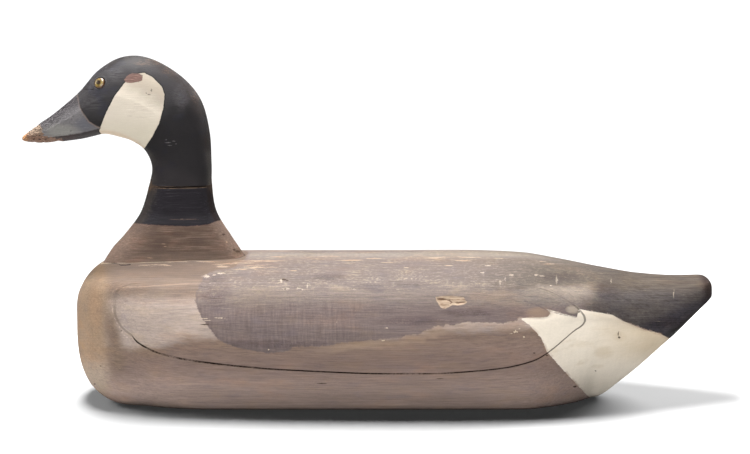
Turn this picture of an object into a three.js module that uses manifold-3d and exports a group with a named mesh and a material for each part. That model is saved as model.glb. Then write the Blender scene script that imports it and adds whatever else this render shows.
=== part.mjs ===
// A solid goose decoy, carved from wood and painted: a body glued up from a centre block and two thin side
// boards, a neck base and a head sawn from one thickness of plank, and two glass eyes.
// Millimetres. +Z is up, the bill points to -X, and the bird's left side faces -Y.
import * as THREE from "three";
import { mergeVertices } from "three/addons/utils/BufferGeometryUtils.js";
import Module from "manifold-3d";

// Driving dimensions of the body
const BODY_LENGTH = 612.8;
const BODY_HEIGHT = 140.9;
const CENTER_BLOCK_WIDTH = 190;
const SIDE_BOARD_THICKNESS = 23.5; // at the body's widest
const FLAT_BOTTOM_WIDTH = 126;
const TAIL_END_WIDTH = 54;
const TAIL_ROUNDING = 7;
const SHOULDER_ROUNDING = 24;
const RIDGE_ROUNDING = 16;
const BOTTOM_EDGE_ROUNDING = 9;

// Driving dimensions of the neck and head
const PLANK_THICKNESS = 44;
const NECK_SETBACK = 94.5; // from the breast to the middle of the neck's foot
const HEAD_RISE = 195.4; // from the seat to the crown of the head
const JOINT_HEIGHT = 72.4; // from the seat to the joint across the neck
const JOINT_TILT = THREE.MathUtils.degToRad(1.1);
const FRONT_BEVEL = [20, 12]; // along the neck's side and across its front edge
const BACK_BEVEL = [9, 9];
const SEAT_DEPTH = 0.7; // of the flat let into the back for the neck, at its two ends

// Driving dimensions of the eyes
const EYE_DIAMETER = 10.2;
const EYE_SETTING_DEPTH = 3;
const EYE_BULGE = 1.7;

// Clearances between pieces
const GLUE_LINE = 0.3;
const EYE_CLEARANCE = 0.3;

// The scar left by a knock on the left side board
const SCAR_LENGTH = 33;
const SCAR_HEIGHT = 12;
const SCAR_DEPTH = 2;
const SCAR_BEHIND = 0.583 * BODY_LENGTH; // from the breast
const SCAR_UP = 0.83 * BODY_HEIGHT; // from the flat bottom

// Mesh fineness
const CROWN_STEPS = 4;
const NOSE_STATIONS = 12;
const BODY_STATIONS = 37;
const NECK_STATIONS = 46;
const NECK_SIDES = 28;
const EYE_SIDES = 20;

const wasm = await Module();
wasm.setup();

// A smooth curve through [position, value] rows, which never overshoots between two rows.
function profile(rows) {
  const count = rows.length;
  const slope = (i) => (rows[i + 1][1] - rows[i][1]) / (rows[i + 1][0] - rows[i][0]);
  const tangents = rows.map((row, i) => {
    if (i === 0) return slope(0);
    if (i === count - 1) return slope(count - 2);
    const before = slope(i - 1);
    const after = slope(i);
    return before * after <= 0 ? 0 : (2 * before * after) / (before + after);
  });
  return (at) => {
    const position = THREE.MathUtils.clamp(at, rows[0][0], rows[count - 1][0]);
    let i = 0;
    while (i < count - 2 && position > rows[i + 1][0]) i++;
    const width = rows[i + 1][0] - rows[i][0];
    const t = (position - rows[i][0]) / width;
    const rise = rows[i][1] * (2 * t ** 3 - 3 * t ** 2 + 1) + rows[i + 1][1] * (3 * t ** 2 - 2 * t ** 3);
    return rise + width * (tangents[i] * (t ** 3 - 2 * t ** 2 + t) + tangents[i + 1] * (t ** 3 - t ** 2));
  };
}

// The shrinking of a round end: 0 at its very tip and 1 where the end has passed into the straight.
function roundEnd(fromTip, reach, bluntness) {
  const left = THREE.MathUtils.clamp(1 - fromTip / reach, 0, 1);
  return (1 - left ** bluntness) ** (1 / bluntness);
}

const BODY_WIDTH = CENTER_BLOCK_WIDTH + 2 * SIDE_BOARD_THICKNESS;

// The body's lines. The first column is the share of the length behind the breast.
// The others are shares of the body's height or of its half width, as each name says.
const crownHeight = profile([
  [0.075, 0.967], [0.149, 0.979], [0.214, 0.989], [0.28, 0.995], [0.459, 0.995], [0.638, 1], [0.704, 0.993],
  [0.769, 0.953], [0.834, 0.902], [0.891, 0.864], [0.949, 0.849], [1, 0.851],
]);
const keelHeight = profile([[0.79, 0], [0.821, 0.011], [0.867, 0.136], [0.932, 0.39], [1, 0.69]]);
const ridgeHeight = profile([
  [0, 0.66], [0.079, 0.77], [0.095, 0.73], [0.114, 0.65], [0.149, 0.635], [0.214, 0.625], [0.361, 0.583],
  [0.557, 0.545], [0.66, 0.56], [0.72, 0.6], [0.782, 0.667], [0.85, 0.596], [0.9, 0.54], [0.937, 0.546],
  [0.97, 0.64], [1, 0.736],
]);
const ridgeBreadth = profile([
  [0.09, 0.845], [0.118, 0.868], [0.149, 0.905], [0.214, 0.949], [0.328, 0.987], [0.459, 1], [0.557, 0.992],
  [0.655, 0.958], [0.72, 0.915], [0.782, 0.81], [0.843, 0.667], [0.9, 0.515], [0.957, 0.363],
  [1, TAIL_END_WIDTH / BODY_WIDTH],
]);
const flatBreadth = profile([
  [0, 0.4], [0.025, 0.57], [0.055, 0.74], [0.09, 0.87], [0.14, 0.97], [0.2, 1], [0.655, 1], [0.704, 0.98],
  [0.743, 0.825], [0.777, 0.6], [0.8, 0.4], [0.818, 0.25], [0.883, 0.19], [1, 0.16],
]);
const shoulderInset = profile([
  [0, 0.025], [0.079, 0.017], [0.149, 0.051], [0.214, 0.093], [0.623, 0.101], [0.75, 0.088], [0.883, 0.085],
  [1, 0.068],
]);
const shoulderDrop = profile([
  [0, 0.05], [0.079, 0.057], [0.214, 0.089], [0.623, 0.099], [0.72, 0.117], [0.782, 0.128], [0.85, 0.121],
  [0.932, 0.1], [1, 0.064],
]);
const shoulderSoftness = profile([[0.079, 0.54], [0.214, 1], [1, 0.92]]);
// How much softer than elsewhere the edge of the flat bottom is, round the breast
const edgeSoftness = profile([[0, 3.4], [0.09, 3.2], [0.15, 1.8], [0.22, 1], [1, 1]]);
// How far the flat that tucks under swells out round the breast, as a share of its own breadth
const bilgeSwelling = profile([[0, 0.16], [0.04, 0.13], [0.075, 0.05], [0.11, 0], [1, 0]]);

// The breast, from its foremost point: how far behind it the full breadth, crown and bottom are reached, and
// how bluntly each curves round to there
const BREAST_POINT_HEIGHT = 0.48 * BODY_HEIGHT;
const BREAST_REACH = 0.127 * BODY_LENGTH;
const BREAST_BLUNTNESS = 2;
const BREAST_TOP_REACH = 0.078 * BODY_LENGTH;
const BREAST_TOP_BLUNTNESS = 2.8;
const BREAST_FOOT_REACH = 0.092 * BODY_LENGTH;
const BREAST_FOOT_BLUNTNESS = 2.3;

const halfWidth = BODY_WIDTH / 2;
const ridgeCornerOut = 0.2 * RIDGE_ROUNDING; // from the rounded ridge to the corner that it was rounded from
const crownStop = 0.46 * SHOULDER_ROUNDING; // from the shoulder's corner to the end of the crowned back

// The heights and breadths of one cross-section of the body, at a distance behind the breast.
function bodyStation(behind) {
  const share = behind / BODY_LENGTH;
  const crown = crownHeight(share) * BODY_HEIGHT;
  const keel = keelHeight(share) * BODY_HEIGHT;
  const up = roundEnd(behind, BREAST_TOP_REACH, BREAST_TOP_BLUNTNESS);
  const down = roundEnd(behind, BREAST_FOOT_REACH, BREAST_FOOT_BLUNTNESS);
  const out = roundEnd(behind, BREAST_REACH, BREAST_BLUNTNESS);
  const toTail = Math.max(0, 1 - (BODY_LENGTH - behind) / TAIL_ROUNDING);
  const tailInset = TAIL_ROUNDING * (1 - Math.sqrt(1 - toTail ** 2)) * 0.6;
  const top = BREAST_POINT_HEIGHT + (crown - BREAST_POINT_HEIGHT) * up - tailInset;
  const bottom = BREAST_POINT_HEIGHT + (keel - BREAST_POINT_HEIGHT) * down;
  const breadth = ridgeBreadth(share) * halfWidth * out - tailInset;
  const height = top - bottom;
  const lowestRidge = bottom + 0.28 * height;
  const highestRidge = top - 0.3 * height;
  return {
    top,
    bottom,
    breadth,
    ridge: THREE.MathUtils.clamp(ridgeHeight(share) * BODY_HEIGHT, lowestRidge, highestRidge),
    flat: Math.min((flatBreadth(share) * FLAT_BOTTOM_WIDTH) / 2, 0.6 * breadth),
    inset: shoulderInset(share) * halfWidth,
    drop: shoulderDrop(share) * BODY_HEIGHT,
    shoulderRounding: SHOULDER_ROUNDING * shoulderSoftness(share),
    swelling: bilgeSwelling(share),
    edgeRounding: BOTTOM_EDGE_ROUNDING * edgeSoftness(share),
    // near the breast every detail shrinks with the section
    scale: Math.min(1, breadth / (0.5 * halfWidth), height / (0.5 * BODY_HEIGHT)),
  };
}

// Points from a to b, and round a corner from a to b, both without their first point.
function straight(a, b, steps) {
  return Array.from({ length: steps }, (_, i) => a.clone().lerp(b, (i + 1) / steps));
}
function rounded(a, corner, b, steps) {
  return new THREE.QuadraticBezierCurve(a, corner, b).getPoints(steps).slice(1);
}

// One half of a cross-section, from the middle of the back to the middle of the bottom.
// It has a crowned back, a soft shoulder, a side that leans out to the ridge, and a flat that tucks under.
function bodySection(behind) {
  const s = bodyStation(behind);
  const ridge = new THREE.Vector2(s.breadth + ridgeCornerOut * s.scale, s.ridge);
  const shoulder = new THREE.Vector2(ridge.x - s.inset * s.scale, s.top - s.drop * s.scale);
  const edge = new THREE.Vector2(s.flat, s.bottom);
  const tuck = edge.clone().sub(ridge);
  const swelling = new THREE.Vector2(-tuck.y, tuck.x).multiplyScalar(s.swelling);
  const bilge = ridge.clone().lerp(edge, 0.5).add(swelling);
  const sideLength = ridge.distanceTo(shoulder);
  const underLength = ridge.distanceTo(bilge);
  const crownEnd = shoulder.x - Math.min(crownStop * s.scale, 0.4 * shoulder.x);
  const fall = (s.drop * s.scale) / shoulder.x ** 2;
  const crown = Array.from({ length: CROWN_STEPS + 1 }, (_, i) => {
    const across = (crownEnd * i) / CROWN_STEPS;
    return new THREE.Vector2(across, s.top - fall * across ** 2);
  });
  const crownSide = crown[CROWN_STEPS];
  const side = ridge.clone().sub(shoulder).normalize();
  const upperTuck = bilge.clone().sub(ridge).normalize();
  const lowerTuck = edge.clone().sub(bilge).normalize();
  const leaving = new THREE.Vector2(1, -2 * fall * crownEnd).normalize();
  const gap = shoulder.clone().sub(crownSide);
  const along = (gap.x * side.y - gap.y * side.x) / (leaving.x * side.y - leaving.y * side.x);
  const corner = crownSide.clone().addScaledVector(leaving, along);
  const shoulderCut = Math.min(s.shoulderRounding * s.scale, 0.5 * sideLength);
  const shoulderEnd = corner.clone().addScaledVector(side, shoulderCut);
  const ridgeCut = Math.min(RIDGE_ROUNDING * s.scale, 0.45 * sideLength, 0.5 * underLength);
  const ridgeStart = ridge.clone().addScaledVector(side, -ridgeCut);
  const ridgeEnd = ridge.clone().addScaledVector(upperTuck, ridgeCut);
  const bilgeCut = 0.5 * underLength;
  const bilgeStart = bilge.clone().addScaledVector(upperTuck, -bilgeCut);
  const bilgeEnd = bilge.clone().addScaledVector(lowerTuck, bilgeCut);
  const edgeCut = Math.min(s.edgeRounding * s.scale, 0.45 * underLength, 0.8 * edge.x);
  const edgeStart = edge.clone().addScaledVector(lowerTuck, -edgeCut);
  const edgeEnd = new THREE.Vector2(edge.x - edgeCut, s.bottom);
  return [
    ...crown,
    ...rounded(crownSide, corner, shoulderEnd, 4),
    ...straight(shoulderEnd, ridgeStart, 2),
    ...rounded(ridgeStart, ridge, ridgeEnd, 3),
    bilgeStart,
    ...rounded(bilgeStart, bilge, bilgeEnd, 3),
    edgeStart,
    ...rounded(edgeStart, edge, edgeEnd, 3),
    new THREE.Vector2(0, s.bottom),
  ];
}

// A closed skin over rings of points, each ring with the same count, with a fan over both ends.
function loft(rings, firstPole, lastPole) {
  const count = rings[0].length;
  const points = [...rings.flat(), firstPole, lastPole];
  const faces = [];
  for (let r = 0; r < rings.length - 1; r++) {
    for (let i = 0; i < count; i++) {
      const next = (i + 1) % count;
      const a = r * count + i;
      const b = r * count + next;
      faces.push(a, b, b + count, a, b + count, a + count);
    }
  }
  const last = (rings.length - 1) * count;
  for (let i = 0; i < count; i++) {
    const next = (i + 1) % count;
    faces.push(points.length - 2, next, i);
    faces.push(points.length - 1, last + i, last + next);
  }
  const geometry = new THREE.BufferGeometry().setFromPoints(points);
  geometry.setIndex(faces);
  return geometry;
}

// Solids for cutting and joining
function solidOf(geometry, matrix = new THREE.Matrix4()) {
  const bare = new THREE.BufferGeometry();
  bare.setAttribute("position", geometry.getAttribute("position").clone());
  bare.setIndex(geometry.index);
  bare.applyMatrix4(matrix);
  const merged = mergeVertices(bare, 1e-4);
  const vertProperties = new Float32Array(merged.attributes.position.array);
  const triVerts = new Uint32Array(merged.index.array);
  return new wasm.Manifold(new wasm.Mesh({ numProp: 3, vertProperties, triVerts }));
}
function geometryOf(solid) {
  const mesh = solid.getMesh();
  const geometry = new THREE.BufferGeometry();
  geometry.setAttribute("position", new THREE.BufferAttribute(new Float32Array(mesh.vertProperties), 3));
  geometry.setIndex(new THREE.BufferAttribute(new Uint32Array(mesh.triVerts), 1));
  geometry.computeVertexNormals();
  return geometry;
}

// A block that fills everything on one side of a plane, the side that the normal points to, for sawing
const SAW_SIZE = 4 * (BODY_LENGTH + HEAD_RISE);
function sideOf(point, normal) {
  const turn = new THREE.Quaternion().setFromUnitVectors(new THREE.Vector3(0, 0, 1), normal);
  const centre = point.clone().addScaledVector(normal, SAW_SIZE / 2);
  const place = new THREE.Matrix4().compose(centre, turn, new THREE.Vector3(1, 1, 1));
  return solidOf(new THREE.BoxGeometry(SAW_SIZE, SAW_SIZE, SAW_SIZE), place);
}

// The whole body before it is sawn into its glued boards. The breast is at x = 0 here.
function carveBody() {
  const noseSteps = Array.from({ length: NOSE_STATIONS }, (_, i) => {
    const angle = ((i + 1) / NOSE_STATIONS) * (Math.PI / 2);
    return BREAST_REACH * (1 - Math.cos(angle));
  });
  const tailStart = BODY_LENGTH - TAIL_ROUNDING;
  const middleSteps = Array.from({ length: BODY_STATIONS }, (_, i) => {
    return BREAST_REACH + ((tailStart - BREAST_REACH) * (i + 1)) / BODY_STATIONS;
  });
  const endSteps = [0.5, 0.8, 1].map((share) => tailStart + share * TAIL_ROUNDING);
  const steps = [...noseSteps, ...middleSteps, ...endSteps];
  const rings = steps.map((x) => {
    const half = bodySection(x);
    const right = half.map((p) => new THREE.Vector3(x, p.x, p.y));
    const left = half.slice(1, -1).reverse().map((p) => new THREE.Vector3(x, -p.x, p.y));
    return [...right, ...left].reverse();
  });
  const end = bodyStation(BODY_LENGTH);
  const breastPoint = new THREE.Vector3(0, 0, BREAST_POINT_HEIGHT);
  const tailPoint = new THREE.Vector3(BODY_LENGTH, 0, (end.top + end.bottom) / 2);
  return solidOf(loft(rings, breastPoint, tailPoint));
}

// The seat of the neck: a flat on the back, just below the crown line, from the front to the rear of the foot.
const neckFootLength = 0.7 * HEAD_RISE;
const footFront = NECK_SETBACK - neckFootLength / 2;
const footRear = NECK_SETBACK + neckFootLength / 2;
const seatFront = new THREE.Vector3(footFront, 0, bodyStation(footFront).top - SEAT_DEPTH);
const seatRear = new THREE.Vector3(footRear, 0, bodyStation(footRear).top - SEAT_DEPTH);
const seatMiddle = seatFront.clone().lerp(seatRear, 0.5);
const seatDirection = seatRear.clone().sub(seatFront).normalize();
const seatNormal = new THREE.Vector3(-seatDirection.z, 0, seatDirection.x);

// The neck and head in side view: pairs of points up the front and the back of the neck, then round the
// throat to the underside and top of the bill. Shares of the head's rise, from the middle of the seat.
const OUTLINE_PAIRS = [
  { front: [-0.378, -0.05], back: [0.378, -0.03] },
  { front: [-0.309, 0.055], back: [0.324, 0.058] },
  { front: [-0.247, 0.126], back: [0.279, 0.126] },
  { front: [-0.164, 0.237], back: [0.214, 0.237] },
  { front: [-0.122, 0.365], back: [0.192, 0.37] },
  { front: [-0.105, 0.459], back: [0.191, 0.485] },
  { front: [-0.138, 0.541], back: [0.182, 0.648] },
  { front: [-0.2, 0.586], back: [0.137, 0.801] },
  { front: [-0.266, 0.607], back: [0.035, 0.916] },
  { front: [-0.332, 0.621], back: [-0.113, 0.996] },
  { front: [-0.383, 0.611], back: [-0.24, 1] },
  { front: [-0.445, 0.597], back: [-0.358, 0.936] },
  { front: [-0.523, 0.586], back: [-0.459, 0.826] },
  { front: [-0.622, 0.576], back: [-0.599, 0.71] },
  { front: [-0.7, 0.579], back: [-0.69, 0.652] },
  { front: [-0.737, 0.585], back: [-0.741, 0.612] },
];
const outlineAt = (side) => {
  const points = OUTLINE_PAIRS.map((pair) => new THREE.Vector2(...pair[side]).multiplyScalar(HEAD_RISE));
  return new THREE.SplineCurve(points);
};
const frontOutline = outlineAt("front");
const backOutline = outlineAt("back");

// Along the outline's pairs: the thickness as a share of the plank's, and how squarely it is carved and bevelled
const lastPair = OUTLINE_PAIRS.length - 1;
const thickness = profile([
  [0, 1], [4, 0.98], [5.5, 0.96], [7, 1], [9, 1.07], [10, 1.06], [11, 0.98], [12, 0.72], [13, 0.56], [14, 0.5],
  [15, 0.34],
]);
const squareness = profile([[0, 12], [4, 10], [5.5, 4], [7, 2.7], [10, 2.4], [12, 2.6], [13, 3], [15, 3]]);
const bevelShare = profile([[0, 1], [4, 0.9], [5.5, 0.6], [7, 0.3], [15, 0.2]]);

// The distance from the middle of a section to its skin: two flats each way, with a bevel across each corner,
// run together the more softly the lower the squareness. `deep` and `wide` are half sizes, and the bevel takes
// `cutDeep` off one flat and `cutWide` off the other.
function carvedRadius(angle, deep, wide, square, cutDeep, cutWide) {
  const c = Math.abs(Math.cos(angle));
  const s = Math.abs(Math.sin(angle));
  const bevelled = (c / cutDeep + s / cutWide) / (deep / cutDeep + wide / cutWide - 1);
  const sum = (c / deep) ** square + (s / wide) ** square + bevelled ** square;
  return sum ** (-1 / square);
}

// A point on the skin of the neck and head, or as far outside it as `outside` says. `along` counts the outline
// pairs, and `angle` turns from the back (0) by the bird's right side to the front.
function neckPoint(along, angle, outside = 0) {
  const front = frontOutline.getPoint(along / lastPair);
  const back = backOutline.getPoint(along / lastPair);
  const deep = front.distanceTo(back) / 2 + outside;
  const wide = (thickness(along) * PLANK_THICKNESS) / 2 + outside;
  const bevel = Math.cos(angle) < 0 ? FRONT_BEVEL : BACK_BEVEL;
  const [cutDeep, cutWide] = bevel.map((cut) => cut * bevelShare(along));
  const radius = (turn) => carvedRadius(turn, deep, wide, squareness(along), cutDeep, cutWide);
  const middle = front.clone().add(back).multiplyScalar(0.5);
  const toBack = back.clone().sub(front).normalize();
  const depth = (radius(angle) * Math.cos(angle) * deep) / radius(0);
  const width = (radius(angle) * Math.sin(angle) * wide) / radius(Math.PI / 2);
  const inPlane = middle.addScaledVector(toBack, depth);
  return new THREE.Vector3(inPlane.x, width, inPlane.y).add(seatMiddle);
}

// The neck and head in one, running a little below the seat.
function carveNeckAndHead(outside = 0) {
  const rings = [];
  for (let r = 0; r <= NECK_STATIONS; r++) {
    const along = (lastPair * r) / NECK_STATIONS;
    const turns = Array.from({ length: NECK_SIDES }, (_, i) => (i / NECK_SIDES) * 2 * Math.PI);
    rings.push(turns.map((angle) => neckPoint(along, angle, outside)));
  }
  const poles = [rings[0], rings[NECK_STATIONS]].map((ring) => {
    return ring.reduce((sum, p) => sum.add(p), new THREE.Vector3()).divideScalar(NECK_SIDES);
  });
  return solidOf(loft(rings, poles[0], poles[1]));
}

// The place of an eye on the head, in the outline's shares of the head's rise, and the way that it looks. It is
// found by halving: first the section through it, between the throat's pair and the bill's, then the turn.
const EYE_X = -0.34;
const EYE_Z = 0.877;
const THROAT_PAIR = 6;
const BILL_PAIR = 14;
const HALVINGS = 40;
function eyePlace() {
  const target = new THREE.Vector2(EYE_X, EYE_Z).multiplyScalar(HEAD_RISE);
  const sideAt = (along) => {
    const front = frontOutline.getPoint(along / lastPair);
    const back = backOutline.getPoint(along / lastPair);
    return back.sub(front).cross(target.clone().sub(front));
  };
  let low = THROAT_PAIR;
  let high = BILL_PAIR;
  for (let i = 0; i < HALVINGS; i++) {
    const middle = (low + high) / 2;
    if (sideAt(low) * sideAt(middle) <= 0) high = middle;
    else low = middle;
  }
  const along = (low + high) / 2;
  const heightAt = (angle) => neckPoint(along, angle).z - seatMiddle.z;
  let top = 0;
  let bottom = Math.PI;
  for (let i = 0; i < HALVINGS; i++) {
    const middle = (top + bottom) / 2;
    if (heightAt(middle) > target.y) top = middle;
    else bottom = middle;
  }
  const angle = (top + bottom) / 2;
  const point = neckPoint(along, angle);
  const step = 0.02;
  const alongSkin = neckPoint(along + step, angle).sub(neckPoint(along - step, angle));
  const roundSkin = neckPoint(along, angle + step).sub(neckPoint(along, angle - step));
  const look = alongSkin.cross(roundSkin).normalize();
  if (look.y < 0) look.negate();
  return { point, look };
}

// A round body turned about the way the eye looks, from below the skin to a low dome above it.
function turnedAtEye(place, radius, depth, bulge) {
  const foot = new THREE.Vector2(0, -depth);
  const outline = [foot, new THREE.Vector2(radius, -depth), new THREE.Vector2(radius, 0)];
  const domeSteps = 4;
  for (let i = 1; i <= domeSteps; i++) {
    const angle = (i / domeSteps) * (Math.PI / 2);
    outline.push(new THREE.Vector2(radius * Math.cos(angle), bulge * Math.sin(angle)));
  }
  outline[outline.length - 1].x = 0;
  const turn = new THREE.Quaternion().setFromUnitVectors(new THREE.Vector3(0, 1, 0), place.look);
  const matrix = new THREE.Matrix4().compose(place.point, turn, new THREE.Vector3(1, 1, 1));
  return solidOf(new THREE.LatheGeometry(outline, EYE_SIDES), matrix);
}

// The same place on the bird's other side
function mirrored(place) {
  const flip = new THREE.Vector3(1, -1, 1);
  return { point: place.point.clone().multiply(flip), look: place.look.clone().multiply(flip) };
}

// The scar on the left board: a shallow scoop with ragged ends, three hollows that run into each other.
function scarCutter() {
  const half = bodySection(SCAR_BEHIND);
  const below = half.findIndex((p) => p.y < SCAR_UP);
  const [over, under] = [half[below - 1], half[below]];
  const skin = over.clone().lerp(under, (over.y - SCAR_UP) / (over.y - under.y));
  const hollows = [
    { along: -0.27, up: 0.1, length: 0.5, rise: 0.75 },
    { along: 0.02, up: 0, length: 0.62, rise: 1 },
    { along: 0.3, up: -0.08, length: 0.42, rise: 0.6 },
  ];
  const cuts = hollows.map(({ along, up, length, rise }) => {
    const size = new THREE.Vector3((length * SCAR_LENGTH) / 2, SCAR_DEPTH * 2, (rise * SCAR_HEIGHT) / 2);
    const [x, z] = [SCAR_BEHIND + along * SCAR_LENGTH, SCAR_UP + up * SCAR_HEIGHT];
    const centre = new THREE.Vector3(x, -skin.x - SCAR_DEPTH, z);
    const matrix = new THREE.Matrix4().compose(centre, new THREE.Quaternion(), size);
    return solidOf(new THREE.IcosahedronGeometry(1, 2), matrix);
  });
  return cuts.reduce((joined, cut) => joined.add(cut));
}

// Sawing the body
const body = carveBody();
const acrossBody = new THREE.Vector3(0, 1, 0);
const blockSide = CENTER_BLOCK_WIDTH / 2 - GLUE_LINE / 2;
const boardSide = CENTER_BLOCK_WIDTH / 2 + GLUE_LINE / 2;
const acrossBack = acrossBody.clone().negate();
const planeAt = (y) => new THREE.Vector3(0, y, 0);
const seatPocket = carveNeckAndHead(GLUE_LINE).intersect(sideOf(seatMiddle, seatNormal));
const centerBlock = body
  .intersect(sideOf(planeAt(-blockSide), acrossBody))
  .intersect(sideOf(planeAt(blockSide), acrossBack))
  .subtract(seatPocket);
const leftBoard = body.intersect(sideOf(planeAt(-boardSide), acrossBack)).subtract(scarCutter());
const rightBoard = body.intersect(sideOf(planeAt(boardSide), acrossBody));

// Sawing the neck
const neckAndHead = carveNeckAndHead();
const jointMiddle = seatMiddle.clone().add(new THREE.Vector3(0, 0, JOINT_HEIGHT));
const jointNormal = new THREE.Vector3(-Math.sin(JOINT_TILT), 0, Math.cos(JOINT_TILT));
const overJoint = jointMiddle.clone().addScaledVector(jointNormal, GLUE_LINE / 2);
const underJoint = jointMiddle.clone().addScaledVector(jointNormal, -GLUE_LINE / 2);
const footPlane = seatMiddle.clone().addScaledVector(seatNormal, GLUE_LINE);
const neckBase = neckAndHead
  .intersect(sideOf(footPlane, seatNormal))
  .intersect(sideOf(underJoint, jointNormal.clone().negate()));

// Setting the eyes
const rightEye = eyePlace();
const leftEye = mirrored(rightEye);
const eyeRadius = EYE_DIAMETER / 2;
const socketRadius = eyeRadius + EYE_CLEARANCE;
const socketDepth = EYE_SETTING_DEPTH + EYE_CLEARANCE;
const socketAt = (place) => turnedAtEye(place, socketRadius, socketDepth, EYE_BULGE + eyeRadius);
const eyeAt = (place) => turnedAtEye(place, eyeRadius, EYE_SETTING_DEPTH, EYE_BULGE);
const head = neckAndHead
  .intersect(sideOf(overJoint, jointNormal))
  .subtract(socketAt(leftEye))
  .subtract(socketAt(rightEye));

// The finished pieces and their paint
const brownPaint = { color: 0x7d6b60, roughness: 0.75, metalness: 0 };
const blackPaint = { color: 0x2b2b2e, roughness: 0.6, metalness: 0 };
const greyBrownWash = { color: 0x8a7668, roughness: 0.75, metalness: 0 };
const glass = { color: 0xb8912e, roughness: 0.1, metalness: 0 };
const pieces = [
  { name: "body_center", solid: centerBlock, paint: brownPaint },
  { name: "side_board_left", solid: leftBoard, paint: greyBrownWash },
  { name: "side_board_right", solid: rightBoard, paint: greyBrownWash },
  { name: "neck_base", solid: neckBase, paint: brownPaint },
  { name: "head", solid: head, paint: blackPaint },
  { name: "eye_left", solid: eyeAt(leftEye), paint: glass },
  { name: "eye_right", solid: eyeAt(rightEye), paint: glass },
];
const decoy = new THREE.Group();
for (const { name, solid, paint } of pieces) {
  const mesh = new THREE.Mesh(geometryOf(solid), new THREE.MeshStandardMaterial(paint));
  mesh.name = name;
  decoy.add(mesh);
}

// The origin is under the middle of the decoy's length.
const extent = new THREE.Box3().setFromObject(decoy);
decoy.position.x = -(extent.min.x + extent.max.x) / 2;

export default decoy;
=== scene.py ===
import math
from types import SimpleNamespace

import bmesh
import bpy
import numpy as np
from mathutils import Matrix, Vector


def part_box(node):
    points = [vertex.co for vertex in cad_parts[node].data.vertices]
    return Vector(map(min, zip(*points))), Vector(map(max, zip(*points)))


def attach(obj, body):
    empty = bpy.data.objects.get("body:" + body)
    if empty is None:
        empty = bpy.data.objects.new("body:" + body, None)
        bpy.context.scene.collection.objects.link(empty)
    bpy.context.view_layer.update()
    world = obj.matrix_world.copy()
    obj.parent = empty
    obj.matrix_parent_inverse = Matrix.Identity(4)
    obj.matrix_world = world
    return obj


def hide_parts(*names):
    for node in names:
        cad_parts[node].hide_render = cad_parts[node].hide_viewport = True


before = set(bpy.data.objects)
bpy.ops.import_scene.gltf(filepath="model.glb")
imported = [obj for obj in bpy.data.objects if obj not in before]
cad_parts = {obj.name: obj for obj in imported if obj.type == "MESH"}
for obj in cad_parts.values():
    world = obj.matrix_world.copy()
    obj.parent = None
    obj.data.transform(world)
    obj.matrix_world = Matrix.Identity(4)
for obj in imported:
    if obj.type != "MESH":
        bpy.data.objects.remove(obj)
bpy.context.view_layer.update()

MM = 0.001

# The body's driving dimensions
BODY_LENGTH = 612.8
BODY_HEIGHT = 140.9
CENTER_BLOCK_WIDTH = 190
SIDE_BOARD_THICKNESS = 23.5
BODY_WIDTH = CENTER_BLOCK_WIDTH + 2 * SIDE_BOARD_THICKNESS
FLAT_BOTTOM_WIDTH = 126
TAIL_END_WIDTH = 54
TAIL_ROUNDING = 7
SHOULDER_ROUNDING = 24
RIDGE_ROUNDING = 16
BOTTOM_EDGE_ROUNDING = 9

# The neck's and head's driving dimensions
PLANK_THICKNESS = 44
NECK_SETBACK = 94.5
HEAD_RISE = 195.4
JOINT_HEIGHT = 72.4
JOINT_TILT = math.radians(1.1)
FRONT_BEVEL = (20, 12)
BACK_BEVEL = (9, 9)
SEAT_DEPTH = 0.7
GLUE_LINE = 0.3

# The eyes' driving dimensions
EYE_RADIUS = 5.1
EYE_BULGE = 1.7
EYE_STEM = [(EYE_RADIUS - 0.25, -1.6), (EYE_RADIUS - 0.1, -0.5)]

BREAST_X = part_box("body_center")[0].x / MM
HALF_WIDTH = BODY_WIDTH / 2

# The camera's place, which the paint's borders are laid out from too
CAMERA_LENS = 85
CAMERA_SENSOR = 36
CAMERA_TILT = math.radians(7.75)
CAMERA_DISTANCE = 1714
CAMERA_TARGET = np.array([7.7, 0, 167.3])
PICTURE_SIZE = (750, 454)


def unit(v):
    return v / np.linalg.norm(v, axis=-1, keepdims=True)


def step(value, low, high):
    """0 below low and 1 above high, with a smooth rise between them."""
    t = np.clip((value - low) / (high - low), 0, 1)
    return t * t * (3 - 2 * t)


def profile(rows):
    """A smooth curve through (position, value) rows, which never overshoots between two rows."""
    at, value = np.array(rows, float).T
    slope = np.diff(value) / np.diff(at)
    before, after = slope[:-1], slope[1:]
    same = before * after > 0
    inner = np.where(same, 2 * before * after / np.where(same, before + after, 1), 0)
    tangent = np.concatenate([slope[:1], inner, slope[-1:]])

    def curve(x):
        x = np.clip(x, at[0], at[-1])
        i = np.clip(np.searchsorted(at, x) - 1, 0, len(at) - 2)
        width = at[i + 1] - at[i]
        t = (x - at[i]) / width
        rise = value[i] * (2 * t**3 - 3 * t**2 + 1) + value[i + 1] * (3 * t**2 - 2 * t**3)
        return rise + width * (tangent[i] * (t**3 - 2 * t**2 + t) + tangent[i + 1] * (t**3 - t**2))

    return curve


def spline(points):
    """A curve through points, with its parameter counting the points from 0."""
    points = np.array(points, float)
    last = len(points) - 1

    def curve(along):
        i = np.clip(np.floor(along).astype(int), 0, last - 1)
        t = (along - i)[:, None]
        p0, p1, p2, p3 = (points[np.clip(i + shift, 0, last)] for shift in (-1, 0, 1, 2))
        v0, v1 = (p2 - p0) / 2, (p3 - p1) / 2
        return (2 * p1 - 2 * p2 + v0 + v1) * t**3 + (3 * p2 - 3 * p1 - 2 * v0 - v1) * t**2 + v0 * t + p1

    return curve


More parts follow.
